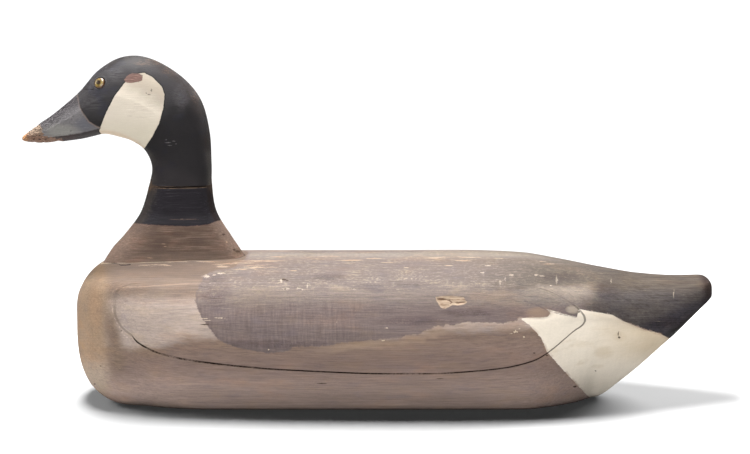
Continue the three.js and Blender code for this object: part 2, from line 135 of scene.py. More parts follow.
def spread_evenly(rings, count):
    """The rings with their points spread evenly along each."""
    spread = np.empty((len(rings), count, rings.shape[-1]))
    for i, ring in enumerate(rings):
        lengths = np.linalg.norm(np.diff(ring, axis=0), axis=1)
        length = np.concatenate([[0], np.cumsum(lengths)])
        wanted = np.linspace(0, length[-1], count)
        for axis in range(ring.shape[-1]):
            spread[i, :, axis] = np.interp(wanted, length, ring[:, axis])
    return spread


def wander(points, wavelength, seed):
    """Smooth random numbers from -1 to 1. wavelength is one size in mm, or three for X, Y and Z."""
    cells = 32
    lattice = np.random.default_rng(seed).uniform(-1, 1, (cells, cells, cells))
    at = points / np.array(wavelength, float)
    cell = np.floor(at).astype(int)
    t = at - cell
    t = t * t * (3 - 2 * t)
    total = np.zeros(points.shape[:-1])
    for corner in np.ndindex(2, 2, 2):
        share = np.prod(np.where(corner, t, 1 - t), axis=-1)
        i, j, k = np.moveaxis((cell + corner) % cells, -1, 0)
        total += share * lattice[i, j, k]
    return total


# The picture that the paint's borders are measured in
PICTURE_SCALE = CAMERA_LENS / CAMERA_SENSOR * PICTURE_SIZE[0]


def in_picture(points):
    """Where points in mm show in the picture, in pixels. Both sides of the bird give the same place."""
    x, y, z = np.moveaxis(points - CAMERA_TARGET, -1, 0)
    y = -np.abs(y)
    depth = CAMERA_DISTANCE + y * math.cos(CAMERA_TILT) - z * math.sin(CAMERA_TILT)
    rise = y * math.sin(CAMERA_TILT) + z * math.cos(CAMERA_TILT)
    across = PICTURE_SIZE[0] / 2 + PICTURE_SCALE * x / depth
    return np.stack([across, PICTURE_SIZE[1] / 2 - PICTURE_SCALE * rise / depth], axis=-1)


def distance_to_line(at, line, closed=False):
    """How far each 2-D point is from a line through the given points."""
    line = np.array(line, float)
    starts, ends = (line, np.roll(line, -1, axis=0)) if closed else (line[:-1], line[1:])
    nearest = np.full(at.shape[:-1], np.inf)
    for a, b in zip(starts, ends):
        t = np.clip(((at - a) @ (b - a)) / max((b - a) @ (b - a), 1e-12), 0, 1)
        nearest = np.minimum(nearest, np.linalg.norm(at - a - t[..., None] * (b - a), axis=-1))
    return nearest


def depth_inside(at, outline):
    """How far each 2-D point is inside a closed outline, and below 0 outside it."""
    outline = np.array(outline, float)
    inside = np.zeros(at.shape[:-1], bool)
    for a, b in zip(outline, np.roll(outline, -1, axis=0)):
        crosses = (a[1] > at[..., 1]) != (b[1] > at[..., 1])
        rise = b[1] - a[1] if b[1] != a[1] else 1
        inside ^= crosses & (at[..., 0] < a[0] + (at[..., 1] - a[1]) * (b[0] - a[0]) / rise)
    return np.where(inside, 1, -1) * distance_to_line(at, outline, closed=True)


# The body's lines. The first column is the share of the length behind the breast.
# The others are shares of the body's height or of its half width, as each name says.
crown_height = profile([
    (0.075, 0.967), (0.149, 0.979), (0.214, 0.989), (0.28, 0.995), (0.459, 0.995), (0.638, 1),
    (0.704, 0.993), (0.769, 0.953), (0.834, 0.902), (0.891, 0.864), (0.949, 0.849), (1, 0.851),
])
keel_height = profile([(0.79, 0), (0.821, 0.011), (0.867, 0.136), (0.932, 0.39), (1, 0.69)])
ridge_height = profile([
    (0, 0.66), (0.079, 0.77), (0.095, 0.73), (0.114, 0.65), (0.149, 0.635), (0.214, 0.625), (0.361, 0.583),
    (0.557, 0.545), (0.66, 0.56), (0.72, 0.6), (0.782, 0.667), (0.85, 0.596), (0.9, 0.54), (0.937, 0.546),
    (0.97, 0.64), (1, 0.736),
])
ridge_breadth = profile([
    (0.09, 0.845), (0.118, 0.868), (0.149, 0.905), (0.214, 0.949), (0.328, 0.987), (0.459, 1),
    (0.557, 0.992), (0.655, 0.958), (0.72, 0.915), (0.782, 0.81), (0.843, 0.667), (0.9, 0.515),
    (0.957, 0.363),
    (1, TAIL_END_WIDTH / BODY_WIDTH),
])
flat_breadth = profile([
    (0, 0.4), (0.025, 0.57), (0.055, 0.74), (0.09, 0.87), (0.14, 0.97), (0.2, 1), (0.655, 1), (0.704, 0.98),
    (0.743, 0.825), (0.777, 0.6), (0.8, 0.4), (0.818, 0.25), (0.883, 0.19), (1, 0.16),
])
shoulder_inset = profile([
    (0, 0.025), (0.079, 0.017), (0.149, 0.051), (0.214, 0.093), (0.623, 0.101), (0.75, 0.088),
    (0.883, 0.085), (1, 0.068),
])
shoulder_drop = profile([
    (0, 0.05), (0.079, 0.057), (0.214, 0.089), (0.623, 0.099), (0.72, 0.117), (0.782, 0.128), (0.85, 0.121),
    (0.932, 0.1), (1, 0.064),
])
shoulder_softness = profile([(0.079, 0.54), (0.214, 1), (1, 0.92)])
edge_softness = profile([(0, 3.4), (0.09, 3.2), (0.15, 1.8), (0.22, 1), (1, 1)])
bilge_swelling = profile([(0, 0.16), (0.04, 0.13), (0.075, 0.05), (0.11, 0), (1, 0)])

BREAST_POINT_HEIGHT = 0.48 * BODY_HEIGHT
BREAST_REACH = 0.127 * BODY_LENGTH
BREAST_BLUNTNESS = 2
BREAST_TOP_REACH = 0.078 * BODY_LENGTH
BREAST_TOP_BLUNTNESS = 2.8
BREAST_FOOT_REACH = 0.092 * BODY_LENGTH
BREAST_FOOT_BLUNTNESS = 2.3
RIDGE_CORNER_OUT = 0.2 * RIDGE_ROUNDING
CROWN_STOP = 0.46 * SHOULDER_ROUNDING
TAIL_INSET = 0.6 * TAIL_ROUNDING
# Below this share of the full size the roundings shrink with the body
FULL_ROUNDING_FROM = 0.5
# How far the ridge stays above the bottom and below the top, as shares of the section's height
RIDGE_LEAST_RISE, RIDGE_LEAST_DROP = 0.28, 0.3
# The largest shares of the half-breadth that the flat bottom and the crown's rounding take
LARGEST_FLAT, LARGEST_CROWN_STOP = 0.6, 0.4
# The largest shares of a straight stretch that the roundings at its two ends take, so that they never cross
HALF_CUT, LESSER_CUT = 0.5, 0.45
# The largest share of the flat bottom that the rounding of its edge takes
LARGEST_EDGE_CUT = 0.8


def round_end(from_tip, reach, bluntness):
    """The shrinking of a round end: 0 at its very tip and 1 where it has passed into the straight."""
    left = np.clip(1 - from_tip / reach, 0, 1)
    return (1 - left**bluntness) ** (1 / bluntness)


def body_station(behind):
    """The heights and breadths of the body's cross-sections, at distances behind the breast."""
    share = behind / BODY_LENGTH
    up = round_end(behind, BREAST_TOP_REACH, BREAST_TOP_BLUNTNESS)
    down = round_end(behind, BREAST_FOOT_REACH, BREAST_FOOT_BLUNTNESS)
    out = round_end(behind, BREAST_REACH, BREAST_BLUNTNESS)
    to_tail = np.clip(1 - (BODY_LENGTH - behind) / TAIL_ROUNDING, 0, 1)
    tail_inset = TAIL_INSET * (1 - np.sqrt(1 - to_tail**2))
    top = BREAST_POINT_HEIGHT + (crown_height(share) * BODY_HEIGHT - BREAST_POINT_HEIGHT) * up - tail_inset
    bottom = BREAST_POINT_HEIGHT + (keel_height(share) * BODY_HEIGHT - BREAST_POINT_HEIGHT) * down
    breadth = ridge_breadth(share) * HALF_WIDTH * out - tail_inset
    height = top - bottom
    size = np.minimum(breadth / HALF_WIDTH, height / BODY_HEIGHT)
    scale = np.minimum(1, size / FULL_ROUNDING_FROM)
    return SimpleNamespace(
        top=top,
        bottom=bottom,
        ridge_x=breadth + RIDGE_CORNER_OUT * scale,
        ridge_z=np.clip(
            ridge_height(share) * BODY_HEIGHT,
            bottom + RIDGE_LEAST_RISE * height,
            top - RIDGE_LEAST_DROP * height,
        ),
        flat=np.minimum(flat_breadth(share) * FLAT_BOTTOM_WIDTH / 2, LARGEST_FLAT * breadth),
        inset=shoulder_inset(share) * HALF_WIDTH * scale,
        drop=shoulder_drop(share) * BODY_HEIGHT * scale,
        shoulder_rounding=SHOULDER_ROUNDING * shoulder_softness(share) * scale,
        ridge_rounding=RIDGE_ROUNDING * scale,
        crown_stop=CROWN_STOP * scale,
        swelling=bilge_swelling(share)[:, None],
        edge_rounding=BOTTOM_EDGE_ROUNDING * edge_softness(share) * scale,
    )


def flat_points(x, z):
    return np.stack(np.broadcast_arrays(x, z), axis=-1)


def straight(a, b, count):
    t = np.linspace(0, 1, count + 1)[1:, None]
    return a[:, None] * (1 - t) + b[:, None] * t


def rounded(a, corner, b, count):
    t = np.linspace(0, 1, count + 1)[1:, None]
    return a[:, None] * (1 - t) ** 2 + corner[:, None] * 2 * t * (1 - t) + b[:, None] * t**2


def body_half_sections(behind):
    """Half cross-sections from the middle of the back to the middle of the bottom, a row for each station."""
    s = body_station(behind)
    cross = lambda a, b: a[:, 0] * b[:, 1] - a[:, 1] * b[:, 0]
    ridge = flat_points(s.ridge_x, s.ridge_z)
    shoulder = flat_points(s.ridge_x - s.inset, s.top - s.drop)
    edge = flat_points(s.flat, s.bottom)
    tuck = edge - ridge
    bilge = (ridge + edge) / 2 + flat_points(-tuck[:, 1], tuck[:, 0]) * s.swelling
    side_length = np.linalg.norm(shoulder - ridge, axis=1)
    under_length = np.linalg.norm(bilge - ridge, axis=1)
    crown_end = shoulder[:, 0] - np.minimum(s.crown_stop, LARGEST_CROWN_STOP * shoulder[:, 0])
    fall = s.drop / shoulder[:, 0] ** 2
    across = crown_end[:, None] * np.linspace(0, 1, 25)
    crown = flat_points(across, s.top[:, None] - fall[:, None] * across**2)
    crown_side = crown[:, -1]
    side = unit(ridge - shoulder)
    upper_tuck = unit(bilge - ridge)
    lower_tuck = unit(edge - bilge)
    leaving = unit(flat_points(1, -2 * fall * crown_end))
    along = cross(shoulder - crown_side, side) / cross(leaving, side)
    corner = crown_side + leaving * along[:, None]
    shoulder_cut = np.minimum(s.shoulder_rounding, HALF_CUT * side_length)[:, None]
    bilge_cut = HALF_CUT * under_length[:, None]
    ridge_room = np.minimum(LESSER_CUT * side_length, HALF_CUT * under_length)
    ridge_cut = np.minimum(s.ridge_rounding, ridge_room)[:, None]
    edge_room = np.minimum(LESSER_CUT * under_length, LARGEST_EDGE_CUT * s.flat)
    edge_cut = np.minimum(s.edge_rounding, edge_room)[:, None]
    shoulder_end = corner + side * shoulder_cut
    ridge_start, ridge_end = ridge - side * ridge_cut, ridge + upper_tuck * ridge_cut
    bilge_start, bilge_end = bilge - upper_tuck * bilge_cut, bilge + lower_tuck * bilge_cut
    edge_start = edge - lower_tuck * edge_cut
    edge_end = flat_points(s.flat - edge_cut[:, 0], s.bottom)
    return np.concatenate([
        crown,
        rounded(crown_side, corner, shoulder_end, 12),
        straight(shoulder_end, ridge_start, 8),
        rounded(ridge_start, ridge, ridge_end, 12),
        straight(ridge_end, bilge_start, 4),
        rounded(bilge_start, bilge, bilge_end, 10),
        straight(bilge_end, edge_start, 4),
        rounded(edge_start, edge, edge_end, 10),
        straight(edge_end, flat_points(0, s.bottom), 12),
    ], axis=1)


def grid_normals(points, wraps, outward_from):
    """The skin's direction outward at each point of a grid, away from the given middles of its rows."""
    along = np.gradient(points, axis=0)
    if wraps:
        around = (np.roll(points, -1, axis=1) - np.roll(points, 1, axis=1)) / 2
    else:
        around = np.gradient(points, axis=1)
    normals = np.cross(along, around)
    normals /= np.maximum(np.linalg.norm(normals, axis=-1, keepdims=True), 1e-9)
    facing = np.sum(normals * (points - outward_from), axis=-1)
    return normals * np.where(np.mean(facing) < 0, -1, 1)


# The seam between the centre block and each side board. How far each piece's rim draws back from it, in mm.
SEAM_Y = CENTER_BLOCK_WIDTH / 2
SEAM_CLOSED = -0.145
STEEPEST_SKIN = 2.2
# Over how many times its own width an opening eases into the skin
SEAM_EASE, JOINT_EASE = 3, 4
# Where along the body the slope of the skin is measured, between which shares of its length
SLOPES_FROM, SLOPES_TO = 0.09, 0.8
lower_seam_opening = profile([
    (-260, 0.02), (-214, 0.05), (-209, 0.33), (-160, 0.38), (-60, 0.3), (60, 0.34), (150, 0.26), (220, 0.2),
])
upper_seam_opening = profile([
    (-250, -0.1), (-232, SEAM_CLOSED), (186, SEAM_CLOSED), (196, 0.05), (220, 0.16),
])


def below_ridge(points, softness):
    """0 above the body's ridge and 1 below it, passing from one to the other within softness mm."""
    ridge = ridge_height((points[..., 0] - BREAST_X) / BODY_LENGTH) * BODY_HEIGHT
    return step(ridge - points[..., 2], -softness, softness)


def seam_opening(points):
    x, below = points[..., 0], below_ridge(points, 6)
    opening = lower_seam_opening(x) * below + upper_seam_opening(x) * (1 - below)
    return opening + 0.05 * np.clip(opening, 0, 1) / 0.3 * wander(points, 9, 21)


# How deep the traces of work by hand go, in mm
UNEVENNESS, TOOL_MARKS, GRAIN_RELIEF = 0.26, 0.1, 0.035


def carve_body(points, normals):
    """The body's skin, drawn in a little by the unevenness of work by hand. The flat bottom stays flat."""
    uneven = UNEVENNESS * (1 + wander(points, (130, 46, 38), 11))
    uneven = uneven + TOOL_MARKS * (1 + wander(points, (34, 13, 13), 12))
    grain = GRAIN_RELIEF * (1 + wander(points, (60, 2.6, 2.6), 13))
    lifted = step(points[..., 2], 0.5, 14)
    return points - normals * ((uneven + grain) * lifted)[..., None]


# Meshes
def mesh_object(name, points, faces):
    mesh = bpy.data.meshes.new(name)
    mesh.from_pydata((points * MM).tolist(), [], faces)
    piece = bpy.data.objects.new(name, mesh)
    bpy.context.scene.collection.objects.link(piece)
    return piece


def grid_faces(rows, columns, wraps):
    corners = np.arange(rows * columns).reshape(rows, columns)
    if wraps:
        corners = np.concatenate([corners, corners[:, :1]], axis=1)
    a, b, c, d = corners[:-1, :-1], corners[:-1, 1:], corners[1:, 1:], corners[1:, :-1]
    return np.stack([a, b, c, d], axis=-1).reshape(-1, 4).tolist()


def lofted(name, rings, poles):
    """A closed skin over rings of points, with a fan over both ends."""
    rows, columns, _ = rings.shape
    faces = grid_faces(rows, columns, wraps=True)
    first_pole, last_pole, last = rows * columns, rows * columns + 1, (rows - 1) * columns
    for i in range(columns):
        following = (i + 1) % columns
        faces.append([first_pole, following, i])
        faces.append([last_pole, last + i, last + following])
    return mesh_object(name, np.concatenate([rings.reshape(-1, 3), poles]), faces)


def saw(piece, point, normal):
    """Takes away what lies on the side of a plane that the normal points to, and closes the cut flat."""
    bm = bmesh.new()
    bm.from_mesh(piece.data)
    lid = bm.faces.layers.int.get("lid") or bm.faces.layers.int.new("lid")
    everything = bm.verts[:] + bm.edges[:] + bm.faces[:]
    cut = bmesh.ops.bisect_plane(
        bm, geom=everything, dist=1e-7, plane_co=Vector(point) * MM, plane_no=Vector(normal), clear_outer=True
    )
    rim = [e for e in cut["geom_cut"] if isinstance(e, bmesh.types.BMEdge)]
    filled = bmesh.ops.triangle_fill(
        bm, use_beauty=True, use_dissolve=False, edges=rim, normal=Vector(normal)
    )
    for face in filled["geom"]:
        if isinstance(face, bmesh.types.BMFace):
            face[lid] = 1
    bm.to_mesh(piece.data)
    bm.free()


def smooth_but_sawn(piece):
    """Smooth shading all over, but for the sawn faces, which stay flat with a sharp rim."""
    bm = bmesh.new()
    bm.from_mesh(piece.data)
    bmesh.ops.recalc_face_normals(bm, faces=bm.faces)
    lid = bm.faces.layers.int.get("lid")
    for face in bm.faces:
        face.smooth = not (lid and face[lid])
    for edge in bm.edges:
        edge.smooth = all(f.smooth for f in edge.link_faces) or not any(f.smooth for f in edge.link_faces)
    if lid:
        bm.faces.layers.int.remove(lid)
    bm.to_mesh(piece.data)
    bm.free()


def points_of(piece):
    """The piece's vertices in mm."""
    flat = np.empty(len(piece.data.vertices) * 3)
    piece.data.vertices.foreach_get("co", flat)
    return flat.reshape(-1, 3) / MM


def move_points(piece, points):
    piece.data.vertices.foreach_set("co", (points * MM).ravel())
    piece.data.update()


def keep_values(piece, **values):
    """Numbers kept on the piece's vertices for its paint to read."""
    for name, value in values.items():
        attribute = piece.data.attributes.new(name, "FLOAT", "POINT")
        attribute.data.foreach_set("value", np.asarray(value, np.float32).ravel())


def skin_slope_below(x):
    """How much the skin rises for each mm outward where the seam shows below the ridge."""
    behind = np.linspace(SLOPES_FROM * BODY_LENGTH, SLOPES_TO * BODY_LENGTH, 60)
    half = spread_evenly(body_half_sections(behind), 500)
    crossing = [np.flatnonzero(row > min(SEAM_Y, row.max() - 0.5))[-1] for row in half[..., 0]]
    sections = zip(half.transpose(0, 2, 1), crossing)
    slopes = [(z[i + 3] - z[i - 3]) / (y[i + 3] - y[i - 3]) for (y, z), i in sections]
    return np.interp(x - BREAST_X, behind, np.clip(slopes, 0, STEEPEST_SKIN))


def open_seam(piece, outward):
    """Draws the rim of a sawn piece back along the skin. outward is 1 for a board and -1 for the block."""
    points = points_of(piece)
    opening = seam_opening(points)
    side = np.sign(points[:, 1])
    away = np.maximum((np.abs(points[:, 1]) - SEAM_Y) * outward - GLUE_LINE / 2, 0)
    reach = SEAM_EASE * np.abs(opening) + 1e-6
    shift = outward * opening * (1 - step(away / reach, 0, 1))
    points[:, 1] += side * shift
    rise = np.maximum(shift * outward, 0) * outward
    points[:, 2] += rise * below_ridge(points, 6) * skin_slope_below(points[:, 0])
    move_points(piece, points)


# The body: the centre block and the two side boards
def whole_body(nose_steps, middle_steps, ring_points):
    nose = BREAST_REACH * (1 - np.cos(np.linspace(0, math.pi / 2, nose_steps + 1)[1:]))
    tail_start = BODY_LENGTH - TAIL_ROUNDING
    middle = np.linspace(BREAST_REACH, tail_start, middle_steps + 1)[1:]
    end = tail_start + TAIL_ROUNDING * np.array([0.25, 0.5, 0.7, 0.85, 0.95, 1])
    behind = np.concatenate([nose, middle, end])
    half = spread_evenly(body_half_sections(behind), ring_points // 2 + 1)
    ring = np.concatenate([half, half[:, -2:0:-1] * (-1, 1)], axis=1)
    x = np.broadcast_to(behind[:, None] + BREAST_X, ring.shape[:2])
    rings = np.stack([x, ring[..., 0], ring[..., 1]], axis=-1)
    middles = rings.mean(axis=1, keepdims=True)
    rings = carve_body(rings, grid_normals(rings, wraps=True, outward_from=middles))
    tail = rings[-1].mean(axis=0)
    return rings, np.array([[BREAST_X + 0.4, 0, BREAST_POINT_HEIGHT], tail])


def make_center_block():
    rings, poles = whole_body(nose_steps=54, middle_steps=230, ring_points=280)
    piece = lofted("center_block", rings, poles)
    for side in (-1, 1):
        saw(piece, (0, side * (SEAM_Y - GLUE_LINE / 2), 0), (0, side, 0))
    open_seam(piece, outward=-1)
    return piece


BOARD_START, BOARD_END = 0.05 * BODY_LENGTH, 0.84 * BODY_LENGTH
BOARD_PART_OF_RING = (0.22, 0.76)
# How far a half section reaches from the back to the bottom, rounded up
HALF_ROUND = 330


def make_side_board(name, side, spacing, damage=None):
    """A side board, from the strip of the body's skin that lies outside the seam."""
    behind = np.arange(BOARD_START, BOARD_END, spacing)
    half = spread_evenly(body_half_sections(behind), int(HALF_ROUND / spacing))
    first, last = (int(share * half.shape[1]) for share in BOARD_PART_OF_RING)
    strip = half[:, first:last]
    x = np.broadcast_to(behind[:, None] + BREAST_X, strip.shape[:2])
    points = np.stack([x, side * strip[..., 0], strip[..., 1]], axis=-1)
    middles = points.mean(axis=1, keepdims=True) * (1, 0, 1)
    normals = grid_normals(points, wraps=False, outward_from=middles)
    points = carve_body(points, normals)
    if damage:
        points = damage(points, normals)
    rows, columns, _ = points.shape
    piece = mesh_object(name, points.reshape(-1, 3), grid_faces(rows, columns, wraps=False))
    saw(piece, (0, side * (SEAM_Y + GLUE_LINE / 2), 0), (0, -side, 0))
    open_seam(piece, outward=1)
    return piece


# The scar of a knock on the left board: bare wood with split fibres
SCAR_OUTLINE = [
    (435.3, 296.9), (443.4, 295.9), (451.1, 295.7), (457.8, 296.4), (464, 297.1), (465, 299.8),
    (467.4, 302.2), (463.5, 304.5), (457.8, 305.5), (452.5, 305), (449.2, 306.9), (445.4, 308.6),
    (441.1, 307.9), (438.2, 303.6), (436.3, 300.7),
]
SCAR_SPLITS = [
    [(437.6, 299), (444, 299.4), (449.4, 300.6), (451.8, 302.6), (450.6, 303.8)],
    [(456, 303), (465.4, 301.8)],
]
SCAR_DEPTH = 1.1


def gouge(points, normals):
    at = in_picture(points)
    at[..., 1] += 0.7 * wander(points, (5, 5, 3), 31)
    inside = depth_inside(at, SCAR_OUTLINE)
    fibres = 0.5 + 0.5 * wander(points, (11, 4, 1.6), 32)
    split = np.min([distance_to_line(at, line) for line in SCAR_SPLITS], axis=0)
    floor = SCAR_DEPTH * (0.3 + 0.45 * fibres + 0.7 * (1 - step(split, 0.2, 1.4)))
    depth = floor * step(inside, 0, 1.3)
    return points - normals * depth[..., None]


# The neck and head in side view: pairs of points up the front and the back of the neck, then round the throat
# to the underside and top of the bill. Shares of the head's rise, from the middle of the seat.
OUTLINE_PAIRS = [
    [(-0.378, -0.05), (0.378, -0.03)], [(-0.309, 0.055), (0.324, 0.058)], [(-0.247, 0.126), (0.279, 0.126)],
    [(-0.164, 0.237), (0.214, 0.237)], [(-0.122, 0.365), (0.192, 0.37)], [(-0.105, 0.459), (0.191, 0.485)],
    [(-0.138, 0.541), (0.182, 0.648)], [(-0.2, 0.586), (0.137, 0.801)], [(-0.266, 0.607), (0.035, 0.916)],
    [(-0.332, 0.621), (-0.113, 0.996)], [(-0.383, 0.611), (-0.24, 1)], [(-0.445, 0.597), (-0.358, 0.936)],
    [(-0.523, 0.586), (-0.459, 0.826)], [(-0.622, 0.576), (-0.599, 0.71)], [(-0.7, 0.579), (-0.69, 0.652)],
    [(-0.737, 0.585), (-0.741, 0.612)],
]
LAST_PAIR = len(OUTLINE_PAIRS) - 1
front_outline = spline([np.multiply(front, HEAD_RISE) for front, back in OUTLINE_PAIRS])
back_outline = spline([np.multiply(back, HEAD_RISE) for front, back in OUTLINE_PAIRS])
thickness = profile([
    (0, 1), (4, 0.98), (5.5, 0.96), (7, 1), (9, 1.07), (10, 1.06), (11, 0.98), (12, 0.72), (13, 0.56),
    (14, 0.5), (15, 0.34),
])
squareness = profile([(0, 12), (4, 10), (5.5, 4), (7, 2.7), (10, 2.4), (12, 2.6), (13, 3), (15, 3)])
bevel_share = profile([(0, 1), (4, 0.9), (5.5, 0.6), (7, 0.3), (15, 0.2)])

# The seat of the neck on the back
FOOT_LENGTH = 0.7 * HEAD_RISE
seat_ends = np.array([NECK_SETBACK - FOOT_LENGTH / 2, NECK_SETBACK + FOOT_LENGTH / 2])
seat_heights = body_station(seat_ends).top - SEAT_DEPTH
seat_middle = np.array([seat_ends.mean() + BREAST_X, 0, seat_heights.mean()])
seat_direction = unit(np.array([seat_ends[1] - seat_ends[0], 0, seat_heights[1] - seat_heights[0]]))
seat_normal = np.array([-seat_direction[2], 0, seat_direction[0]])
joint_middle = seat_middle + (0, 0, JOINT_HEIGHT)
joint_normal = np.array([-math.sin(JOINT_TILT), 0, math.cos(JOINT_TILT)])


def carved_radius(turn, deep, wide, square, cut_deep, cut_wide):
    """From the middle of a section to its skin: two flats each way, with a bevel across each corner."""
    c, s = np.abs(np.cos(turn)), np.abs(np.sin(turn))
    bevelled = (c / cut_deep + s / cut_wide) / (deep / cut_deep + wide / cut_wide - 1)
    return ((c / deep) ** square + (s / wide) ** square + bevelled**square) ** (-1 / square)


def neck_rings(rows, columns):
    """Rings of points from the neck's foot to the bill's tip, even on the longer side of each bend."""
    fine = np.linspace(0, LAST_PAIR, 2000)
    outlines = (front_outline, back_outline)
    steps = [np.linalg.norm(np.diff(outline(fine), axis=0), axis=1) for outline in outlines]
    travelled = np.concatenate([[0], np.cumsum(np.maximum(*steps))])
    along = np.interp(np.linspace(0, travelled[-1], rows), travelled, fine)
    front, back = front_outline(along), back_outline(along)
    deep = np.linalg.norm(back - front, axis=1)[:, None] / 2
    wide = thickness(along)[:, None] * PLANK_THICKNESS / 2
    square = squareness(along)[:, None]
    turn = np.linspace(0, math.pi, 241)[None]
    bevels = zip(FRONT_BEVEL, BACK_BEVEL)
    cuts = [np.where(np.cos(turn) < 0, f, b) * bevel_share(along)[:, None] for f, b in bevels]
    radius = carved_radius(turn, deep, wide, square, *cuts)
    depth = radius * np.cos(turn) * deep / carved_radius(0, deep, wide, square, *cuts)
    width = radius * np.sin(turn) * wide / carved_radius(math.pi / 2, deep, wide, square, *cuts)
    half = spread_evenly(np.stack([depth, width], axis=-1), columns // 2 + 1)
    ring = np.concatenate([half, half[:, -2:0:-1] * (1, -1)], axis=1)
    middle = ((front + back) / 2)[:, None]
    in_plane = middle + unit(back - front)[:, None] * ring[..., :1]
    return np.stack([in_plane[..., 0], ring[..., 1], in_plane[..., 1]], axis=-1) + seat_middle, along


# What is carved on the head, in the picture
FACE_LINE = [
    (76.4, 93), (77.4, 96), (79.8, 107.4), (82.2, 112.2), (88.9, 121.8), (96.5, 126.6), (100.5, 128),
]
MOUTH_LINE = [(30, 138.4), (50, 137.4), (70, 135), (88, 131.6), (98, 128.8)]
BROW_CRACK = [(79.5, 86.6), (84, 89.3), (88.5, 90), (93.5, 89.6)]
TIP_OUTLINE = [
    (10, 120), (39.8, 112), (40, 125), (42, 131), (44, 135.4), (52, 137.4), (62, 138.6), (62, 150),
    (10, 150),
]
# The line round the face gets deeper between these two rows of the picture
FACE_LINE_ROWS = (106, 120)
FACE_LINE_DEPTHS = (0.15, 0.5)
MOUTH_DEPTH = 0.35
BROW_CRACK_DEPTH = 0.3
SOCKET_DEPTH, SOCKET_RIM = 1.9, 0.4
HEAD_UNEVENNESS, HEAD_TOOL_MARKS, BASE_UNEVENNESS = 0.16, 0.05, 0.22
# The worn end of the bill: what is gone all over, its lumps and its splits
TIP_LOSS, TIP_LUMPS, TIP_SPLITS = 0.3, 0.35, 0.55
TIP_TAPER = 0.3


def carve_head(points, normals):
    """Unevenness, the line round the bill, the mouth, a crack below the brow and the worn end of the bill."""
    at = in_picture(points)
    head_share = step(points[..., 2], joint_middle[2] - 10, joint_middle[2] + 25)
    depth = HEAD_UNEVENNESS * (1 + wander(points, (22, 22, 22), 41))
    depth += HEAD_TOOL_MARKS * (1 + wander(points, (7, 5, 5), 42))
    depth += BASE_UNEVENNESS * (1 - head_share) * (1 + wander(points, (40, 14, 16), 43))
    shallow, deep = FACE_LINE_DEPTHS
    line_depth = shallow + (deep - shallow) * step(at[..., 1], *FACE_LINE_ROWS)
    depth += line_depth * (1 - step(distance_to_line(at, FACE_LINE), 0.2, 1.1))
    depth += MOUTH_DEPTH * (1 - step(distance_to_line(at, MOUTH_LINE), 0.2, 1.1))
    depth += BROW_CRACK_DEPTH * (1 - step(distance_to_line(at, BROW_CRACK), 0.15, 0.8))
    worn = step(depth_inside(at, TIP_OUTLINE), -1.5, 3)
    splits = 1 - np.abs(wander(points, (9, 5, 1.5), 44))
    depth += worn * (TIP_LOSS + TIP_LUMPS * (1 + wander(points, 4.5, 45)) + TIP_SPLITS * splits**4)
    return points - normals * depth[..., None]


def eye_places():
    """The middle of each eye's dome at its rim and the way that the eye looks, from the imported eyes."""
    places = {}
    for side, name in ((-1, "eye_left"), (1, "eye_right")):
        corners = points_of(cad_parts[name])
        axis_point = corners.mean(axis=0)
        spreads = np.linalg.svd(corners - axis_point)[2]
        look = spreads[2] * np.sign(spreads[2][1] * side)
        top = np.max((corners - axis_point) @ look)
        places[name] = (axis_point + look * (top - EYE_BULGE), look)
    return places


eyes = eye_places()


def off_axis(points, place, look):
    """Each point's offset from an eye's axis, at right angles to it."""
    offset = points - place
    return offset - (offset @ look)[..., None] * look


def eye_distance(points):
    """How far each point is from the axis of the eye on its side."""
    nearest = np.full(points.shape[:-1], np.inf)
    for place, look in eyes.values():
        beside = np.linalg.norm(off_axis(points, place, look), axis=-1)
        nearest = np.where(np.sign(points[..., 1]) == np.sign(look[1]), np.minimum(nearest, beside), nearest)
    return nearest


def carve_sockets(points, normals):
    beside = eye_distance(points)
    hollow = SOCKET_DEPTH * (1 - step(beside, EYE_RADIUS - 0.5, EYE_RADIUS + 0.5))
    rim = SOCKET_RIM * np.exp(-(((beside - EYE_RADIUS - 1.3) / 0.75) ** 2))
    return points - normals * (hollow - rim)[..., None]


def make_neck_and_head():
    rings, along = neck_rings(rows=460, columns=224)
    middles = rings.mean(axis=1, keepdims=True)
    normals = grid_normals(rings, wraps=True, outward_from=middles)
    tip = step(along, LAST_PAIR - 0.3, LAST_PAIR)[:, None, None]
    rings = middles + (rings - middles) * (1 - TIP_TAPER * tip**2)
    rings = carve_sockets(carve_head(rings, normals), normals)
    poles = np.array([rings[0].mean(axis=0), rings[-1].mean(axis=0)])
    head = lofted("head_carved", rings, poles)
    base = lofted("neck_base_carved", rings, poles)
    saw(head, joint_middle + joint_normal * GLUE_LINE / 2, -joint_normal)
    saw(base, joint_middle - joint_normal * GLUE_LINE / 2, joint_normal)
    saw(base, seat_middle + seat_normal * GLUE_LINE, -seat_normal)
    for piece, outward in ((head, 1), (base, -1)):
        open_joint(piece, outward)
    return head, base


# How far each lip of the neck's joint draws back, by the place in the picture from left to right
JOINT_CLOSED = -0.12
joint_opening = profile([
    (150, JOINT_CLOSED), (154, 0.12), (158, 0.3), (175, 0.36), (190, 0.33), (200, 0.2), (207, JOINT_CLOSED),
])


def open_joint(piece, outward):
    """Opens the joint across the neck on both flat sides, and closes it round the front and back edges."""
    points = points_of(piece)
    from_joint = (points - joint_middle) @ joint_normal
    away = np.maximum(from_joint * outward - GLUE_LINE / 2, 0)
    on_flat = step(np.abs(points[:, 1]), 8, 16)
    at = in_picture(points)
    opening = joint_opening(at[:, 0]) * on_flat + JOINT_CLOSED * (1 - on_flat)
    reach = JOINT_EASE * np.abs(opening) + 1e-6
    points += (outward * opening * (1 - step(away / reach, 0, 1)))[:, None] * joint_normal
    move_points(piece, points)


